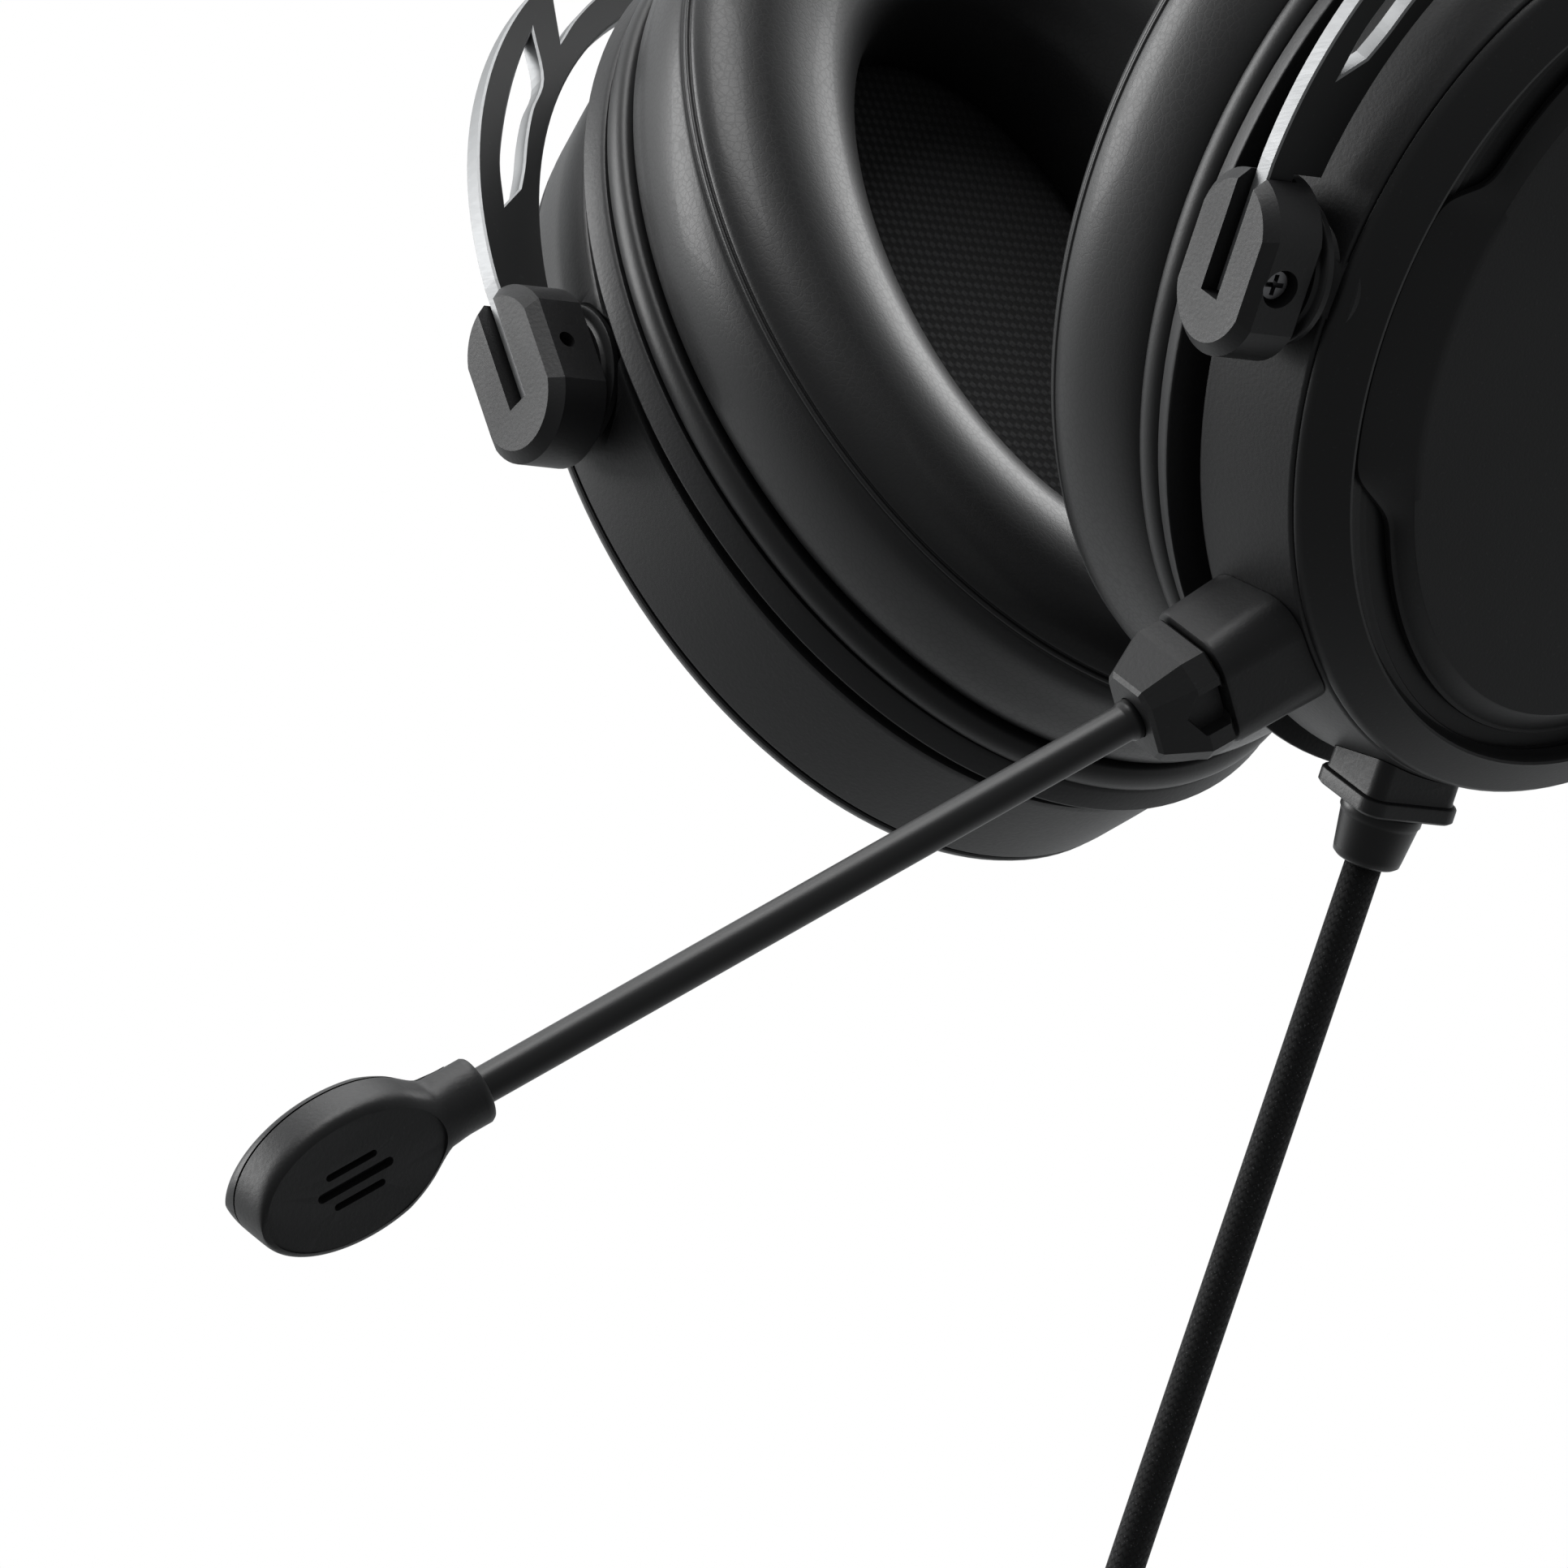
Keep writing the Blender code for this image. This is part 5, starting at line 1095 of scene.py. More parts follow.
class Pattern:
    """A Geometry Nodes tree that takes geometry, named sizes and a finish."""

    def __init__(self, name, sizes):
        self.tree = bpy.data.node_groups.new(name, "GeometryNodeTree")
        face = self.tree.interface
        face.new_socket("Geometry", in_out="INPUT", socket_type="NodeSocketGeometry")
        for size in sizes:
            face.new_socket(size, in_out="INPUT", socket_type="NodeSocketFloat")
        face.new_socket("Finish", in_out="INPUT", socket_type="NodeSocketMaterial")
        face.new_socket("Geometry", in_out="OUTPUT", socket_type="NodeSocketGeometry")
        self.start = self.put("NodeGroupInput")

    def given(self, name):
        return self.start.outputs[name]

    def put(self, kind, settings=None, inputs=None):
        """Adds a node with its settings, then the values or links of its sockets; a list links each item."""
        made = self.tree.nodes.new(kind)
        for name, value in (settings or {}).items():
            setattr(made, name, value)
        for name, value in (inputs or {}).items():
            for item in value if isinstance(value, list) else [value]:
                if isinstance(item, bpy.types.NodeSocket):
                    self.tree.links.new(item, made.inputs[name])
                else:
                    made.inputs[name].default_value = item
        return made

    def times(self, value, factor):
        return self.put("ShaderNodeMath", {"operation": "MULTIPLY"}, {0: value, 1: factor}).outputs[0]

    def vector(self, parts):
        return self.put("ShaderNodeCombineXYZ", {}, parts).outputs[0]

    def laid(self, points, shape, way):
        """Lays a shape on each point with its Z axis along a way, and puts it out with the finish."""
        turn = self.put("FunctionNodeAlignRotationToVector", {"axis": "Z"}, {"Vector": way})
        set_on = self.put("GeometryNodeInstanceOnPoints", {}, {"Points": points, "Instance": shape,
                                                               "Rotation": turn.outputs[0]})
        whole = self.put("GeometryNodeRealizeInstances", {}, {"Geometry": set_on.outputs[0]})
        done = self.put("GeometryNodeSetMaterial", {}, {"Geometry": whole.outputs[0],
                                                        "Material": self.given("Finish")})
        self.put("NodeGroupOutput", {}, {0: done.outputs[0]})
        return self.tree


def patterned(piece, tree, sizes, look):
    """Puts what a pattern's tree makes of a piece into its mesh."""
    step = piece.modifiers.new("pattern", "NODES")
    step.node_group = tree
    named = {item.name: item.identifier for item in tree.interface.items_tree if item.in_out == "INPUT"}
    for key, value in sizes.items():
        step[named[key]] = value
    step[named["Finish"]] = look.material
    return baked(piece)


def screw_pattern():
    """A tree that stands a cross-recessed screw on each facet, head outwards along its normal."""
    pattern = Pattern("cross_screws", ("Head radius", "Head height", "Shank radius", "Shank length",
                                       "Cross length", "Cross width", "Cross depth"))
    given, put, times = pattern.given, pattern.put, pattern.times

    def lifted(geometry, height):
        return put("GeometryNodeTransform", {}, {"Geometry": geometry,
                                                 "Translation": pattern.vector({"Z": height})}).outputs[0]

    head = put("GeometryNodeMeshCylinder", {}, {"Vertices": 40, "Radius": given("Head radius"),
                                                "Depth": times(given("Head height"), HEAD_SIDE)})
    dome = put("GeometryNodeMeshCone", {}, {"Vertices": 40, "Radius Bottom": given("Head radius"),
                                            "Radius Top": times(given("Head radius"), DOME_TOP),
                                            "Depth": times(given("Head height"), 1 - HEAD_SIDE)})
    shank = put("GeometryNodeMeshCylinder", {}, {"Vertices": 24, "Radius": given("Shank radius"),
                                                 "Depth": given("Shank length")})
    bars = []
    for first, second in (("Cross length", "Cross width"), ("Cross width", "Cross length")):
        shape = pattern.vector({"X": given(first), "Y": given(second), "Z": times(given("Cross depth"), 2.0)})
        bar = put("GeometryNodeMeshCube", {}, {"Size": shape}).outputs["Mesh"]
        bars.append(lifted(bar, given("Head height")))
    solid = put("GeometryNodeMeshBoolean", {"operation": "UNION"}, {"Mesh 2": [
        lifted(head.outputs["Mesh"], times(given("Head height"), HEAD_SIDE / 2)),
        lifted(dome.outputs["Mesh"], times(given("Head height"), HEAD_SIDE)),
        lifted(shank.outputs["Mesh"], times(given("Shank length"), -SHANK_DOWN))]})
    screw = put("GeometryNodeMeshBoolean", {"operation": "DIFFERENCE"},
                {"Mesh 1": solid.outputs["Mesh"], "Mesh 2": bars})
    aim = put("GeometryNodeCaptureAttribute", {"domain": "FACE"})
    aim.capture_items.new("VECTOR", "Aim")
    pattern.tree.links.new(given("Geometry"), aim.inputs["Geometry"])
    pattern.tree.links.new(put("GeometryNodeInputNormal").outputs[0], aim.inputs["Aim"])
    spots = put("GeometryNodeMeshToPoints", {"mode": "FACES"}, {"Mesh": aim.outputs["Geometry"]})
    return pattern.laid(spots.outputs[0], screw.outputs["Mesh"], aim.outputs["Aim"])


def screws_at(name, places, ways, tree, sizes, look):
    """Stands a screw at each place, head along its way, from a tiny facet there."""
    corners = []
    for place, way in zip(places, ways):
        facing = Vector(way).to_track_quat("Z", "Y").to_matrix()
        corners += [tuple(Vector(place) + facing @ Vector((FACET_R * math.cos(a), FACET_R * math.sin(a), 0)))
                    for a in (0.0, 2.1, 4.2)]
    mesh = bpy.data.meshes.new(name)
    mesh.from_pydata(corners, [], [(i, i + 1, i + 2) for i in range(0, len(corners), 3)])
    return patterned(placed(name, mesh), tree, sizes, look)


screw_tree = screw_pattern()
screw_sizes = {"Head radius": SCREW_HEAD_R * MM, "Head height": SCREW_HEAD_T * MM,
               "Shank radius": SCREW_SHANK_R * MM, "Shank length": SCREW_SHANK_L * MM,
               "Cross length": CROSS_L * MM, "Cross width": CROSS_W * MM, "Cross depth": CROSS_DEEP * MM}
screw_spots = from_side([(head_w, end * SCREW_U, 0.0) for end in (1, -1)])
block_screws = screws_at("block_screws", screw_spots, [across_fork] * 2, screw_tree, screw_sizes, steel)
pair(block_screws, steel, "yoke", ["block_screw_front", "block_screw_rear"], 30.0)


# Fork rivets and slider bars: a steel strip riveted to each fork's stem bends upright into the arm cap, with
# click-stop notches down both of its edges.
RIVET_HEAD_R, RIVET_HEAD_T = 2.8, 0.9
SLIDER_T, SLIDER_WIDTH, FOOT_V, NECK_V, ENGAGED = 2.0, 15.0, 57.0, 66.0, 16.0
TRAVEL_UP, MOUTH_CLEAR, CAP_WALL, POCKET_L = 12.0, 2.5, 2.0, 9.0
SLIDER_W = -(FORK_T / 2 + 0.3 + SLIDER_T / 2)
NECK_Z = NECK_V * LEAN_COS - SLIDER_W * LEAN_SIN
MOUTH_Z = NECK_Z + TRAVEL_UP + MOUTH_CLEAR
CAVITY_Z = MOUTH_Z + ENGAGED + TRAVEL_UP + 1.0
POCKET_Z = CAVITY_Z + CAP_WALL
CAP_TOP_Z = POCKET_Z + POCKET_L
ARM_X = PIVOT_X + NECK_V * LEAN_SIN + SLIDER_W * LEAN_COS
NOTCHES, NOTCH_STEP, NOTCH_DEEP = 9, 4.0, 0.55

bar_l = MOUTH_Z + ENGAGED - NECK_Z
up_side = np.array((-LEAN_SIN, LEAN_COS))       # upright as (outwards, up) in the side frame
foot, neck = np.array((SLIDER_W, FOOT_V)), np.array((SLIDER_W, NECK_V))
spine = [foot, *(foot + (neck - foot) * t for t in (0.08, 0.45, 0.7))]
BEND_R = 2.4
for t in np.linspace(0, 1, 9)[1:-1]:
    before, after = neck - (0, BEND_R), neck + up_side * BEND_R
    spine.append(before * (1 - t) ** 2 + 2 * neck * t * (1 - t) + after * t ** 2)
spine += [neck + up_side * far for far in np.linspace(BEND_R + 0.3, bar_l, 150)]
spine = np.array(spine)
ahead = np.gradient(spine, axis=0)
ahead /= np.linalg.norm(ahead, axis=1)[:, None]
thick = np.stack([ahead[:, 1], -ahead[:, 0]], -1) * SLIDER_T / 2
gone = np.concatenate([[0], np.cumsum(np.linalg.norm(np.diff(spine, axis=0), axis=1))])
bar_rows = []
for spot, side_step, far in zip(spine, thick, gone):
    left = (gone[-1] - 6.0 - far) / NOTCH_STEP
    nearest = abs(left - round(left)) * NOTCH_STEP
    cut_in = max(0.0, NOTCH_DEEP - nearest) if 0 <= round(left) < NOTCHES else 0.0
    half = SLIDER_WIDTH / 2 - cut_in - (1.5 if far < 0.1 else 0.35 if far < 0.9 else 0.0) \
        - (0.8 if gone[-1] - far < 0.1 else 0.0)
    soft = 0.25
    ring = []
    for a, b in ((1, half - soft), (1 - soft, half), (-1 + soft, half), (-1, half - soft),
                 (-1, -half + soft), (-1 + soft, -half), (1 - soft, -half), (1, -half + soft)):
        point = spot + side_step * a
        ring.append((point[0], b, point[1]))
    bar_rows.append(ring)
slider = skin("slider_strip", from_side(bar_rows))
pair(slider, steel, "yoke", ["slider_bar"], 25.0)

outer_w, inner_w = FORK_T / 2 + 0.3, SLIDER_W - SLIDER_T / 2 - 0.3
span = outer_w - inner_w
domed = [(0.4, RIVET_HEAD_T), (1.2, RIVET_HEAD_T - 0.05), (2.1, RIVET_HEAD_T - 0.28),
         (2.65, RIVET_HEAD_T - 0.6),
         (RIVET_HEAD_R, 0.15), (RIVET_HEAD_R - 0.1, 0.0)]
rivet_rows = [(r, span + far) for r, far in domed] + [(1.5, span), (1.5, 0.0)] + [(r, -far) for r,
                                                                                  far in domed[::-1]]
rivet = turned("stem_rivet", rivet_rows, (inner_w, 0, RIVET_V), (1, 0, 0), 40)
pair(rivet, steel, "yoke", ["fork_rivet"], 50.0)


# Microphone boss: a round-cornered socket housing that grows out of the left cup's lower front, bored for
# the microphone's plug.
MIC_W, MIC_ROOT, MIC_FALL = -1.0, (40.3, -51.0), math.radians(35.8)
CONNECTOR_L, CONNECTOR_HALF, CONNECTOR_TIP = 7.9, (6.4, 6.2), (4.1, 4.3)
BOSS_HALF, BOSS_END_HALF, BOSS_DEEP, BOSS_SHIFT = (7.0, 7.0), (6.6, 6.5), 24.0, 0.7
JACK_R, BOOM_R, BOOM_L = 1.75, 2.0, 84.0
MIC_COS, MIC_SIN = math.cos(MIC_FALL), math.sin(MIC_FALL)


def on_mic(points):
    """(along the boom, across it, outwards) millimetres as side frame millimetres."""
    far, over, out = np.moveaxis(np.asarray(points, float), -1, 0)
    return np.stack([MIC_W + out, MIC_ROOT[0] + far * MIC_COS + over * MIC_SIN,
                     MIC_ROOT[1] - far * MIC_SIN + over * MIC_COS], -1)


def mic_row(far, half, corner, shift=0.0, steps=10):
    """A round-cornered section across the boom, half = (outwards, across)."""
    ring = rounded(half[0], half[1], corner, steps)
    return from_side(on_mic(np.stack([np.full(len(ring), far), ring[:, 1] + shift, ring[:, 0]], -1)))


boss_end = -CONNECTOR_L - 0.3
boss = skin("microphone_boss", [
    mic_row(-BOSS_DEEP, BOSS_HALF, 4.2, BOSS_SHIFT), mic_row(-BOSS_DEEP * 0.6, (6.85, 6.85), 4.1, 0.55),
    mic_row(boss_end - 0.45, grown(BOSS_END_HALF, 0.02), 3.6, 0.3),
    mic_row(boss_end - 0.12, grown(BOSS_END_HALF, -0.12), 3.5, 0.3),
    mic_row(boss_end, grown(BOSS_END_HALF, -0.45), 3.2, 0.3)])
mic_way = (0.0, MIC_COS, -MIC_SIN)
bore = turned("bore", [(JACK_R + 0.3, 0), (JACK_R + 0.3, 14)], on_mic((boss_end - 7.5, 0, 0)), mic_way, 32)
carved(boss, [cup_envelope(), bore])
dressed(shaded(boss, 36), plastic, "cup_left", ["mic_boss"])


# Microphone connector: a faceted block at the boom's root with planar chamfers, drawn in to the boom, and a
# hexagonal thumb notch on its outer side.
NOTCH_AT, NOTCH_R, NOTCH_FLOOR = (-6.1, 0.6), 2.9, 4.9


def faceted_row(far, half, chamfer, shift=0.0):
    a, b = half
    ring = [(a, b - chamfer), (a - chamfer, b), (-a + chamfer, b), (-a, b - chamfer),
            (-a, -b + chamfer), (-a + chamfer, -b), (a - chamfer, -b), (a, -b + chamfer)]
    return from_side(on_mic([(far, over + shift, out) for out, over in ring]))


connector = skin("microphone_connector", [
    faceted_row(-CONNECTOR_L, grown(CONNECTOR_HALF, -0.3), 2.0),
    faceted_row(-CONNECTOR_L + 0.3, CONNECTOR_HALF, 2.2),
    faceted_row(-CONNECTOR_L + 3.0, CONNECTOR_HALF, 2.2), faceted_row(-0.4, grown(CONNECTOR_TIP, 0.12), 1.5),
    faceted_row(0.0, grown(CONNECTOR_TIP, -0.35), 1.3)])
notch = skin("notch", [from_side(on_mic([(NOTCH_AT[0] + (NOTCH_R + grow) * math.cos(t),
                                          NOTCH_AT[1] + (NOTCH_R + grow) * math.sin(t), out)
                                         for t in np.arange(6) * math.pi / 3]))
                       for out, grow in ((NOTCH_FLOOR, -0.25), (NOTCH_FLOOR + 3, 0.3))])
sockets = [turned("socket", [(r, 0), (r, long)], on_mic((far, 0, 0)), mic_way, 40)
           for far, r, long in ((-CONNECTOR_L - 1, JACK_R + 0.3, 4.3), (-2.3, BOOM_R + 0.3, 4.0))]
carved(connector, [notch, *sockets])
softened(connector, 0.14, 20.0)
dressed(shaded(connector, 20), plastic, "microphone", ["mic_connector"])


# Boom: a flexible four millimetre stalk in satin rubber, with a moulded cuff where it enters the connector.
boom_rows = [(BOOM_R - 0.3, -1.9), (BOOM_R, -1.6), (BOOM_R, -0.2), (BOOM_R + 0.22, 0.05),
             (BOOM_R + 0.22, 0.9),
             (BOOM_R + 0.02, 1.25), (BOOM_R, 1.4), (BOOM_R, 20.0), (BOOM_R, 40.0), (BOOM_R, 60.0),
             (BOOM_R, 80.0),
             (BOOM_R, BOOM_L - 0.2), (BOOM_R - 0.3, BOOM_L)]
boom = turned("boom_stalk", boom_rows, on_mic((0, 0, 0)), mic_way, 48)
dressed(shaded(boom, 50), rubber, "microphone", ["mic_boom"])


# Microphone head: two moulded shells parted near the inner face, an oval that narrows to a round neck over
# the boom's end. The outer face is a sunk oval with a few plain sound slots.
HEAD_HALF, HEAD_MIDDLE, HEAD_T, HEAD_PART = (12.0, 8.0), 98.2, 7.5, 2.0
NECK_R, NECK_START = 3.7, 81.4
FACE_HALF, FACE_MIDDLE, FACE_DEEP = (10.9, 6.9), 98.5, 0.45
SLOTS = ((-1.9, 3.1, 0.42), (0.0, 4.6, 0.55), (1.9, 3.1, 0.42))     # across, half length, half width
HEAD_STATIONS = 76


def head_reach(far):
    """Half width of the head across the boom at a distance along it."""
    share = (far - HEAD_MIDDLE) / HEAD_HALF[0]
    oval_half = HEAD_HALF[1] * math.sqrt(max(0.0, 1 - share * share)) if abs(share) < 1 else 0.0
    if far >= HEAD_MIDDLE - 4.0:
        return max(oval_half, 0.05)
    neck_half = NECK_R
    blend = 1.9                                 # how broadly the neck flows into the head
    h = min(1.0, max(0.0, 0.5 + 0.5 * (oval_half - neck_half) / blend))
    return neck_half * (1 - h) + oval_half * h + blend * h * (1 - h) * 0.55


def head_rows(steps=72):
    far_end = HEAD_MIDDLE + HEAD_HALF[0]
    swing = np.linspace(0.0, math.pi, HEAD_STATIONS)
    stations = NECK_START + 1.0 + (far_end - 0.004 - NECK_START - 1.0) * (0.35 * (1 - np.cos(swing)) / 2
                                                                          + 0.65 * np.sin(swing / 2))
    rows = [(NECK_START, NECK_R - 0.55, 2.0), (NECK_START + 0.15, NECK_R - 0.2, 2.0),
            (NECK_START + 0.5, NECK_R, 2.0)]
    for far in stations:
        p = 2.0 + 3.2 * min(1.0, max(0.0, (far - NECK_START - 3.0) / 9.0)) ** 1.5
        rows.append((far, head_reach(far), p))
    made = []
    turn = full_turn(steps)
    for far, reach, p in rows:
        neck_share = min(1.0, max(0.0, (far - NECK_START - 0.5) / 6.0))
        tall = NECK_R * (1 - neck_share) + HEAD_T / 2 * neck_share
        if far < NECK_START + 0.4:
            tall = min(reach, NECK_R)
        c, s = np.cos(turn), np.sin(turn)
        over = np.sign(c) * np.abs(c) ** (2 / p) * reach
        out = np.sign(s) * np.abs(s) ** (2 / p) * tall
        made.append(from_side(on_mic(np.stack([np.full(steps, far), over, out], -1))))
    return made


def head_prism(name, low, high, half, middle, steps=96, flare=0.0):
    turn = full_turn(steps)
    return skin(name, [from_side(on_mic(np.stack([
        middle[0] + (half[0] + grow) * np.cos(turn), middle[1] + (half[1] + grow) * np.sin(turn),
        np.full(steps, out)], -1))) for out, grow in ((low, 0.0), (high, flare))])


def slab(name, low, high):
    """A slab across the whole head between two distances outwards."""
    corners = [(60.0, -20.0), (130.0, -20.0), (130.0, 20.0), (60.0, 20.0)]
    return skin(name, [from_side(on_mic([(far, over, out) for far, over in corners])) for out in (low, high)])


part_w = -HEAD_T / 2 + HEAD_PART
head = skin("microphone_head", head_rows())
inner = placed("microphone_head_back", head.data.copy())
face_at = HEAD_T / 2 - FACE_DEEP
cutters = [slab("under", -20.0, part_w + 0.14),
           head_prism("face", face_at, HEAD_T / 2 + 2, FACE_HALF, (FACE_MIDDLE, 0.0), flare=0.25),
           turned("boom_bore", [(BOOM_R + 0.3, 0), (BOOM_R + 0.3, 4.0)], on_mic((NECK_START - 1, 0, 0)),
                  mic_way, 32)]
carved(head, cutters)
slots = []
for over, half_long, half_wide in SLOTS:
    ring = rounded(half_long, half_wide, half_wide * 0.98, 5)
    slots.append(skin("slot", [from_side(on_mic(np.stack([FACE_MIDDLE + ring[:, 0] * grow,
                                                          over + ring[:, 1] * grow,
                                                          np.full(len(ring), out)], -1)))
                               for out, grow in ((face_at - 1.1, 0.94), (face_at + 1.0, 1.06))]))
carved(head, slots)
softened(head, 0.10, 40.0)
dressed(shaded(head, 30), plastic, "microphone", ["mic_head_outer"])
neck_room = turned("neck_room", [(NECK_R + 0.6, 0), (NECK_R + 0.6, 4.2)], on_mic((NECK_START - 2, 0, 0)),
                   mic_way, 48)
carved(inner, [slab("over", part_w - 0.14, 20.0), neck_room])
softened(inner, 0.10, 40.0)
dressed(shaded(inner, 30), smooth_plastic, "microphone", ["mic_head_inner"])


# Arm caps: hollow round-cornered housings at the ends of the band that the slider bars run in, each screwed
# to the band's frame from the inner side.
CAP_X, CAP_Y, CAP_CORNER = 12.5, 30.0, 5.0
CAP_SCREW_R, CAP_SCREW_T, CAP_SCREW_SUNK = 2.2, 1.2, 0.9
GUIDE_WALL = 1.5


def level_row(half_x, half_y, corner, up, steps=8):
    ring = rounded(half_x, half_y, corner, steps)
    return in_row(np.stack([ARM_X + ring[:, 0], ring[:, 1], np.full(len(ring), up - EAR_DROP)], -1))


cap_profile = [(MOUTH_Z, 1.0), (MOUTH_Z + 0.25, 0.45), (MOUTH_Z + 0.7, 0.12), (MOUTH_Z + 1.2, 0.0),
               (MOUTH_Z + 8.0, 0.0), (MOUTH_Z + 8.25, 0.3), (MOUTH_Z + 8.75, 0.3), (MOUTH_Z + 9.0, 0.0),
               (CAP_TOP_Z - 1.2, 0.0), (CAP_TOP_Z - 0.7, 0.12), (CAP_TOP_Z - 0.25, 0.45), (CAP_TOP_Z, 1.0)]
cap = skin("arm_housing", [level_row(CAP_X / 2 - inset, CAP_Y / 2 - inset, CAP_CORNER - inset, up)
                           for up, inset in cap_profile])
hollow_half = (SLIDER_T / 2 + 0.6 + GUIDE_WALL, SLIDER_WIDTH / 2 + 0.6 + GUIDE_WALL)
hollow = skin("hollow", [level_row(*hollow_half, 0.6, up) for up in (MOUTH_Z - 1, CAVITY_Z)])
screw_z = POCKET_Z + POCKET_L / 2 - EAR_DROP
head_hole = turned("head_hole", [(CAP_SCREW_R + 0.25, 0), (CAP_SCREW_R + 0.25, 6)],
                   (ARM_X - CAP_X / 2 + CAP_SCREW_SUNK, 0, screw_z), (-1, 0, 0), 40, in_row)
carved(cap, [hollow, head_hole])
dressed(shaded(cap, 36), plastic, "headband", ["arm_cap_left"]).name = "arm_housing_left"
twin = mirrored(cap, "arm_housing_right")
dressed(shaded(twin, 36), plastic, "headband", ["arm_cap_right"])
cap_sizes = {**screw_sizes, "Head radius": CAP_SCREW_R * MM, "Head height": CAP_SCREW_T * MM}
cap_spots = [np.array((sign * (ARM_X - CAP_X / 2 + CAP_SCREW_SUNK), 0, screw_z)) * MM for sign in (1, -1)]
cap_screws = screws_at("cap_screws", cap_spots, [(-1, 0, 0), (1, 0, 0)], screw_tree, cap_sizes, steel)
dressed(shaded(cap_screws, 30), steel, "headband", ["cap_screw_left", "cap_screw_right"])


# Headband cover: a thin arched plastic shell over the sprung steel frame, with rounded edges and a shallow
# groove along each side.
FRAME_T, COVER_T, COVER_WIDTH = 2.5, 3.0, 33.0
CORNER_R, CORNER_TURN = 38.0, math.radians(60.0)
CORNER_Z = CAP_TOP_Z - 1.0
TOP_R = CORNER_R + (ARM_X - CORNER_R) / math.cos(CORNER_TURN)
TOP_Z = CORNER_Z + (CORNER_R - TOP_R) * math.sin(CORNER_TURN) + TOP_R


def band_line(turn_from, foot=None, steps=30):
    """Places along the band's middle with its outward way at each, from the left end to the right."""
    half = [] if foot is None else [((ARM_X, up), (1.0, 0.0)) for up in np.linspace(foot, CORNER_Z, 6)[:-1]]
    for turn in np.linspace(turn_from, CORNER_TURN, steps):
        way = (math.cos(turn), math.sin(turn))
        half.append(((ARM_X - CORNER_R + CORNER_R * way[0], CORNER_Z + CORNER_R * way[1]), way))
    for turn in np.linspace(CORNER_TURN, math.pi / 2, steps)[1:]:
        way = (math.cos(turn), math.sin(turn))
        half.append(((TOP_R * way[0], TOP_Z - TOP_R + TOP_R * way[1]), way))
    other = [((-place[0], place[1]), (-way[0], way[1])) for place, way in half[-2::-1]]
    return half + other


def band_skin(name, line, section):
    """Sweeps (outwards, back) section points along the band; section takes the share of the way along."""
    rows = []
    for number, (place, way) in enumerate(line):
        ring = section(number / (len(line) - 1))
        rows.append(in_row(np.stack([place[0] + ring[:, 0] * way[0], ring[:, 1],
                                     place[1] + ring[:, 0] * way[1] - EAR_DROP], -1)))
    return skin(name, rows)


def cover_section(share):
    low, high, half = FRAME_T / 2 + 0.3, FRAME_T / 2 + 0.3 + COVER_T, COVER_WIDTH / 2
    return np.array([(low, half - 0.4), (low + 0.4, half), (high - 1.1, half), (high - 0.5, half - 0.25),
                     (high - 0.1, half - 0.8), (high, half - 1.6), (high, half - 3.6),
                     (high - 0.35, half - 3.8),
                     (high - 0.35, half - 4.2), (high, half - 4.4), (high, 0.0),
                     (high, -half + 4.4), (high - 0.35, -half + 4.2), (high - 0.35, -half + 3.8),
                     (high, -half + 3.6), (high, -half + 1.6), (high - 0.1, -half + 0.8),
                     (high - 0.5, -half + 0.25), (high - 1.1, -half), (low + 0.4, -half), (low, -half + 0.4)])


band_cover = band_skin("headband_shell", band_line(0.0, CAP_TOP_Z + 0.3, 48), cover_section)
softened(band_cover, 0.3, 60.0)
dressed(shaded(band_cover, 36), plastic, "headband", ["headband_cover"])


# Headband cushion: foam in leatherette under the band, filled out a little by a cloth simulation between its
# two sewn edges, with channels sewn across it.
CUSHION_T, CUSHION_WIDTH, CUSHION_FROM = 11.0, 36.0, math.radians(46.0)
CUSHION_EASE = 1.1                              # drawn this much smaller before it swells
CHANNELS, CHANNEL_DEEP = 7, 1.5
CUSHION_MOVE = 2.2                              # the most that the cloth may move a point
UNDER_POINTS, OVER_POINTS = 25, 9               # of a section, round its underside and across its top


def cushion_section(share):
    end = min(share, 1 - share)
    full = 1.0 - 0.62 * max(0.0, 1 - end / 0.055) ** 2
    high = -FRAME_T / 2 - 0.3
    low = high - CUSHION_T * full + CUSHION_EASE
    half = CUSHION_WIDTH / 2 * (1.0 - 0.12 * max(0.0, 1 - end / 0.05) ** 2) - 0.4
    turn = np.linspace(0, math.pi, UNDER_POINTS)
    under = np.stack([high - 1.2 + (low - high + 1.2) * np.sin(turn) ** 0.55, half * np.cos(turn)], -1)
    over = np.stack([np.full(OVER_POINTS, high), np.linspace(-half + 0.8, half - 0.8, OVER_POINTS)], -1)
    return np.concatenate([under, over])


cushion_line = band_line(CUSHION_FROM, None, 34)
cushion = band_skin("headband_pad", cushion_line, cushion_section)
ring_points = UNDER_POINTS + OVER_POINTS
count = len(cushion_line)
hold = np.zeros((count, ring_points))
hold[[0, -1], :] = 1.0
hold[:, UNDER_POINTS:] = 1.0
hold[:, [0, UNDER_POINTS - 1]] = 1.0
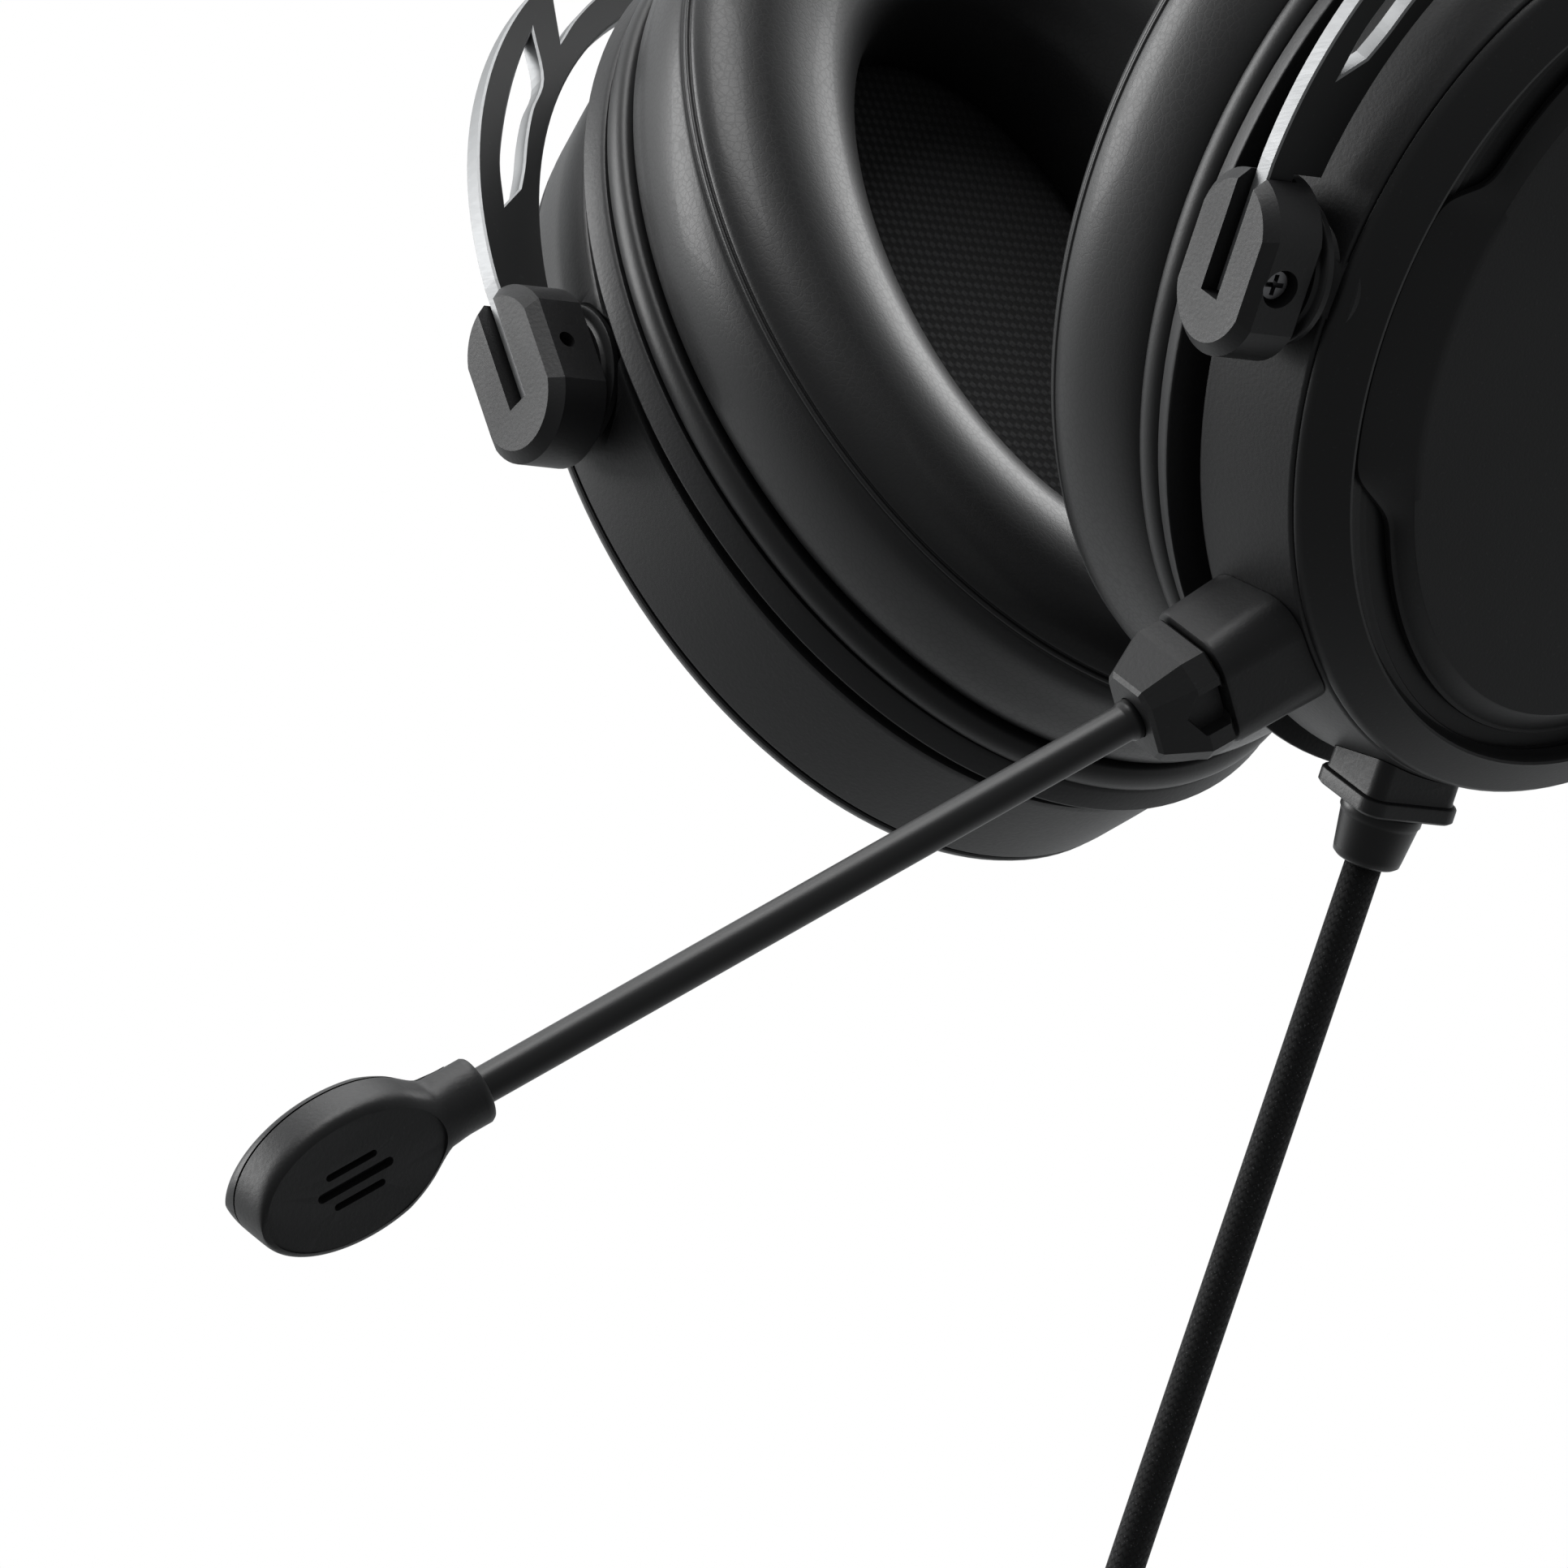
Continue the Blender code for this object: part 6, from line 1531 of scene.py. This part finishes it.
# Channels sewn across hold the foam down where they cross it
channel_rows = np.round(np.linspace(0, count - 1, CHANNELS + 2)[1:-1]).astype(int)
hold[channel_rows, :] = 1.0
cushion_shape = swollen(cushion, hold.ravel(), PAD_PRESSURE, PAD_FRAMES, CUSHION_MOVE)
cushion_shape = cushion_shape.reshape(count, ring_points, 3)
bpy.data.objects.remove(cushion)
cushion_shape = through(cushion_shape, 2)
centre_line = cushion_shape.mean(axis=1, keepdims=True)
weight = np.concatenate([np.sin(np.linspace(0, math.pi, UNDER_POINTS)) ** 0.5, np.zeros(OVER_POINTS)])[:,
                                                                                                       None]
for row in channel_rows * 2:
    for step_along, sink in ((-1, 0.45), (0, 1.0), (1, 0.45)):
        ring = cushion_shape[row + step_along]
        pull = centre_line[row + step_along] - ring
        pull /= np.linalg.norm(pull, axis=1)[:, None]
        cushion_shape[row + step_along] = ring + pull * weight * sink * CHANNEL_DEEP * MM
cushion = skin("headband_cushion_cover", cushion_shape)
even = cushion.modifiers.new("even", "SUBSURF")
even.levels = even.render_levels = 1
baked(cushion)
cushion.data.shade_smooth()
dressed(cushion, leather, "headband", ["headband_cushion"])


# Cushion stitches: a row of short waxed stitches along each edge of the cushion, laid end to end with a
# small gap. One pattern of nodes sews them along a line.
STITCH_L, STITCH_R, STITCH_PITCH, STITCH_OUT = 2.6, 0.28, 3.6, 0.15


def stitch_pattern():
    """A tree that lays a stitch at even steps along a line, each turned along it."""
    pattern = Pattern("stitches", ("Pitch", "Length", "Radius"))
    given, put = pattern.given, pattern.put
    line = put("GeometryNodeMeshToCurve", {}, {"Mesh": given("Geometry")})
    spots = put("GeometryNodeResampleCurve", {"mode": "LENGTH"}, {"Curve": line.outputs[0],
                                                                  "Length": given("Pitch")})
    ball = put("GeometryNodeMeshIcoSphere", {}, {"Subdivisions": 2})
    shape = pattern.vector({"X": given("Radius"), "Y": given("Radius"),
                            "Z": pattern.times(given("Length"), 0.5)})
    stitch = put("GeometryNodeTransform", {}, {"Geometry": ball.outputs["Mesh"], "Scale": shape})
    return pattern.laid(spots.outputs[0], stitch.outputs[0], put("GeometryNodeInputTangent").outputs[0])


thread = rubber_look("waxed_thread", (0.030, 0.030, 0.031), 0.55)
stitch_points, stitch_edges = [], []
for column, way in ((2, 1), (22, -1)):
    run = cushion_shape[4:-4, column]
    outward = run - centre_line[4:-4, 0]
    outward /= np.linalg.norm(outward, axis=1)[:, None]
    start = len(stitch_points)
    stitch_points += [tuple(p) for p in run + outward * STITCH_OUT * MM]
    stitch_edges += [(start + i, start + i + 1) for i in range(len(run) - 1)]
stitch_mesh = bpy.data.meshes.new("cushion_stitches")
stitch_mesh.from_pydata(stitch_points, stitch_edges, [])
stitches = placed("cushion_stitches", stitch_mesh)
stitch_sizes = {"Pitch": STITCH_PITCH * MM, "Length": STITCH_L * MM, "Radius": STITCH_R * MM}
patterned(stitches, stitch_pattern(), stitch_sizes, thread)
stitches.data.shade_smooth()
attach(stitches, "headband")


# Parts that show only through gaps keep their plain solids: the steel frame, nylon guides, drivers, board,
# capsule and the microphone's own jack. Each gets its true finish.
def board_look():
    """Green solder mask with faint copper tracks under it."""
    look = Look("circuit_board", 0.42, coat=0.3)
    tracks = look.node("ShaderNodeTexWave", {"wave_type": "BANDS", "wave_profile": "SAW"},
                       {"Vector": look.place, "Scale": 260.0, "Distortion": 2.0})
    wide = look.ease(tracks, 0.70, 0.78)
    look.feed("Base Color", look.between((0.008, 0.07, 0.03), (0.02, 0.16, 0.06), wide))
    look.relief(wide, 0.00003, 0.6)
    return look


nylon = moulded_look("black_nylon", (0.018, 0.018, 0.018), 0.55, 0.25, 0.00001, wear=0.0)
INSIDE_PARTS = {
    "headband_frame": steel, "slider_guide_left": nylon, "slider_guide_right": nylon,
    "driver_left": steel, "driver_right": steel, "audio_board": board_look(), "mic_capsule": steel,
    "mic_jack": gold,
}
for node_name, look in INSIDE_PARTS.items():
    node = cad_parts[node_name]
    for place in node.material_slots:
        place.link = "OBJECT"
        place.material = look.material
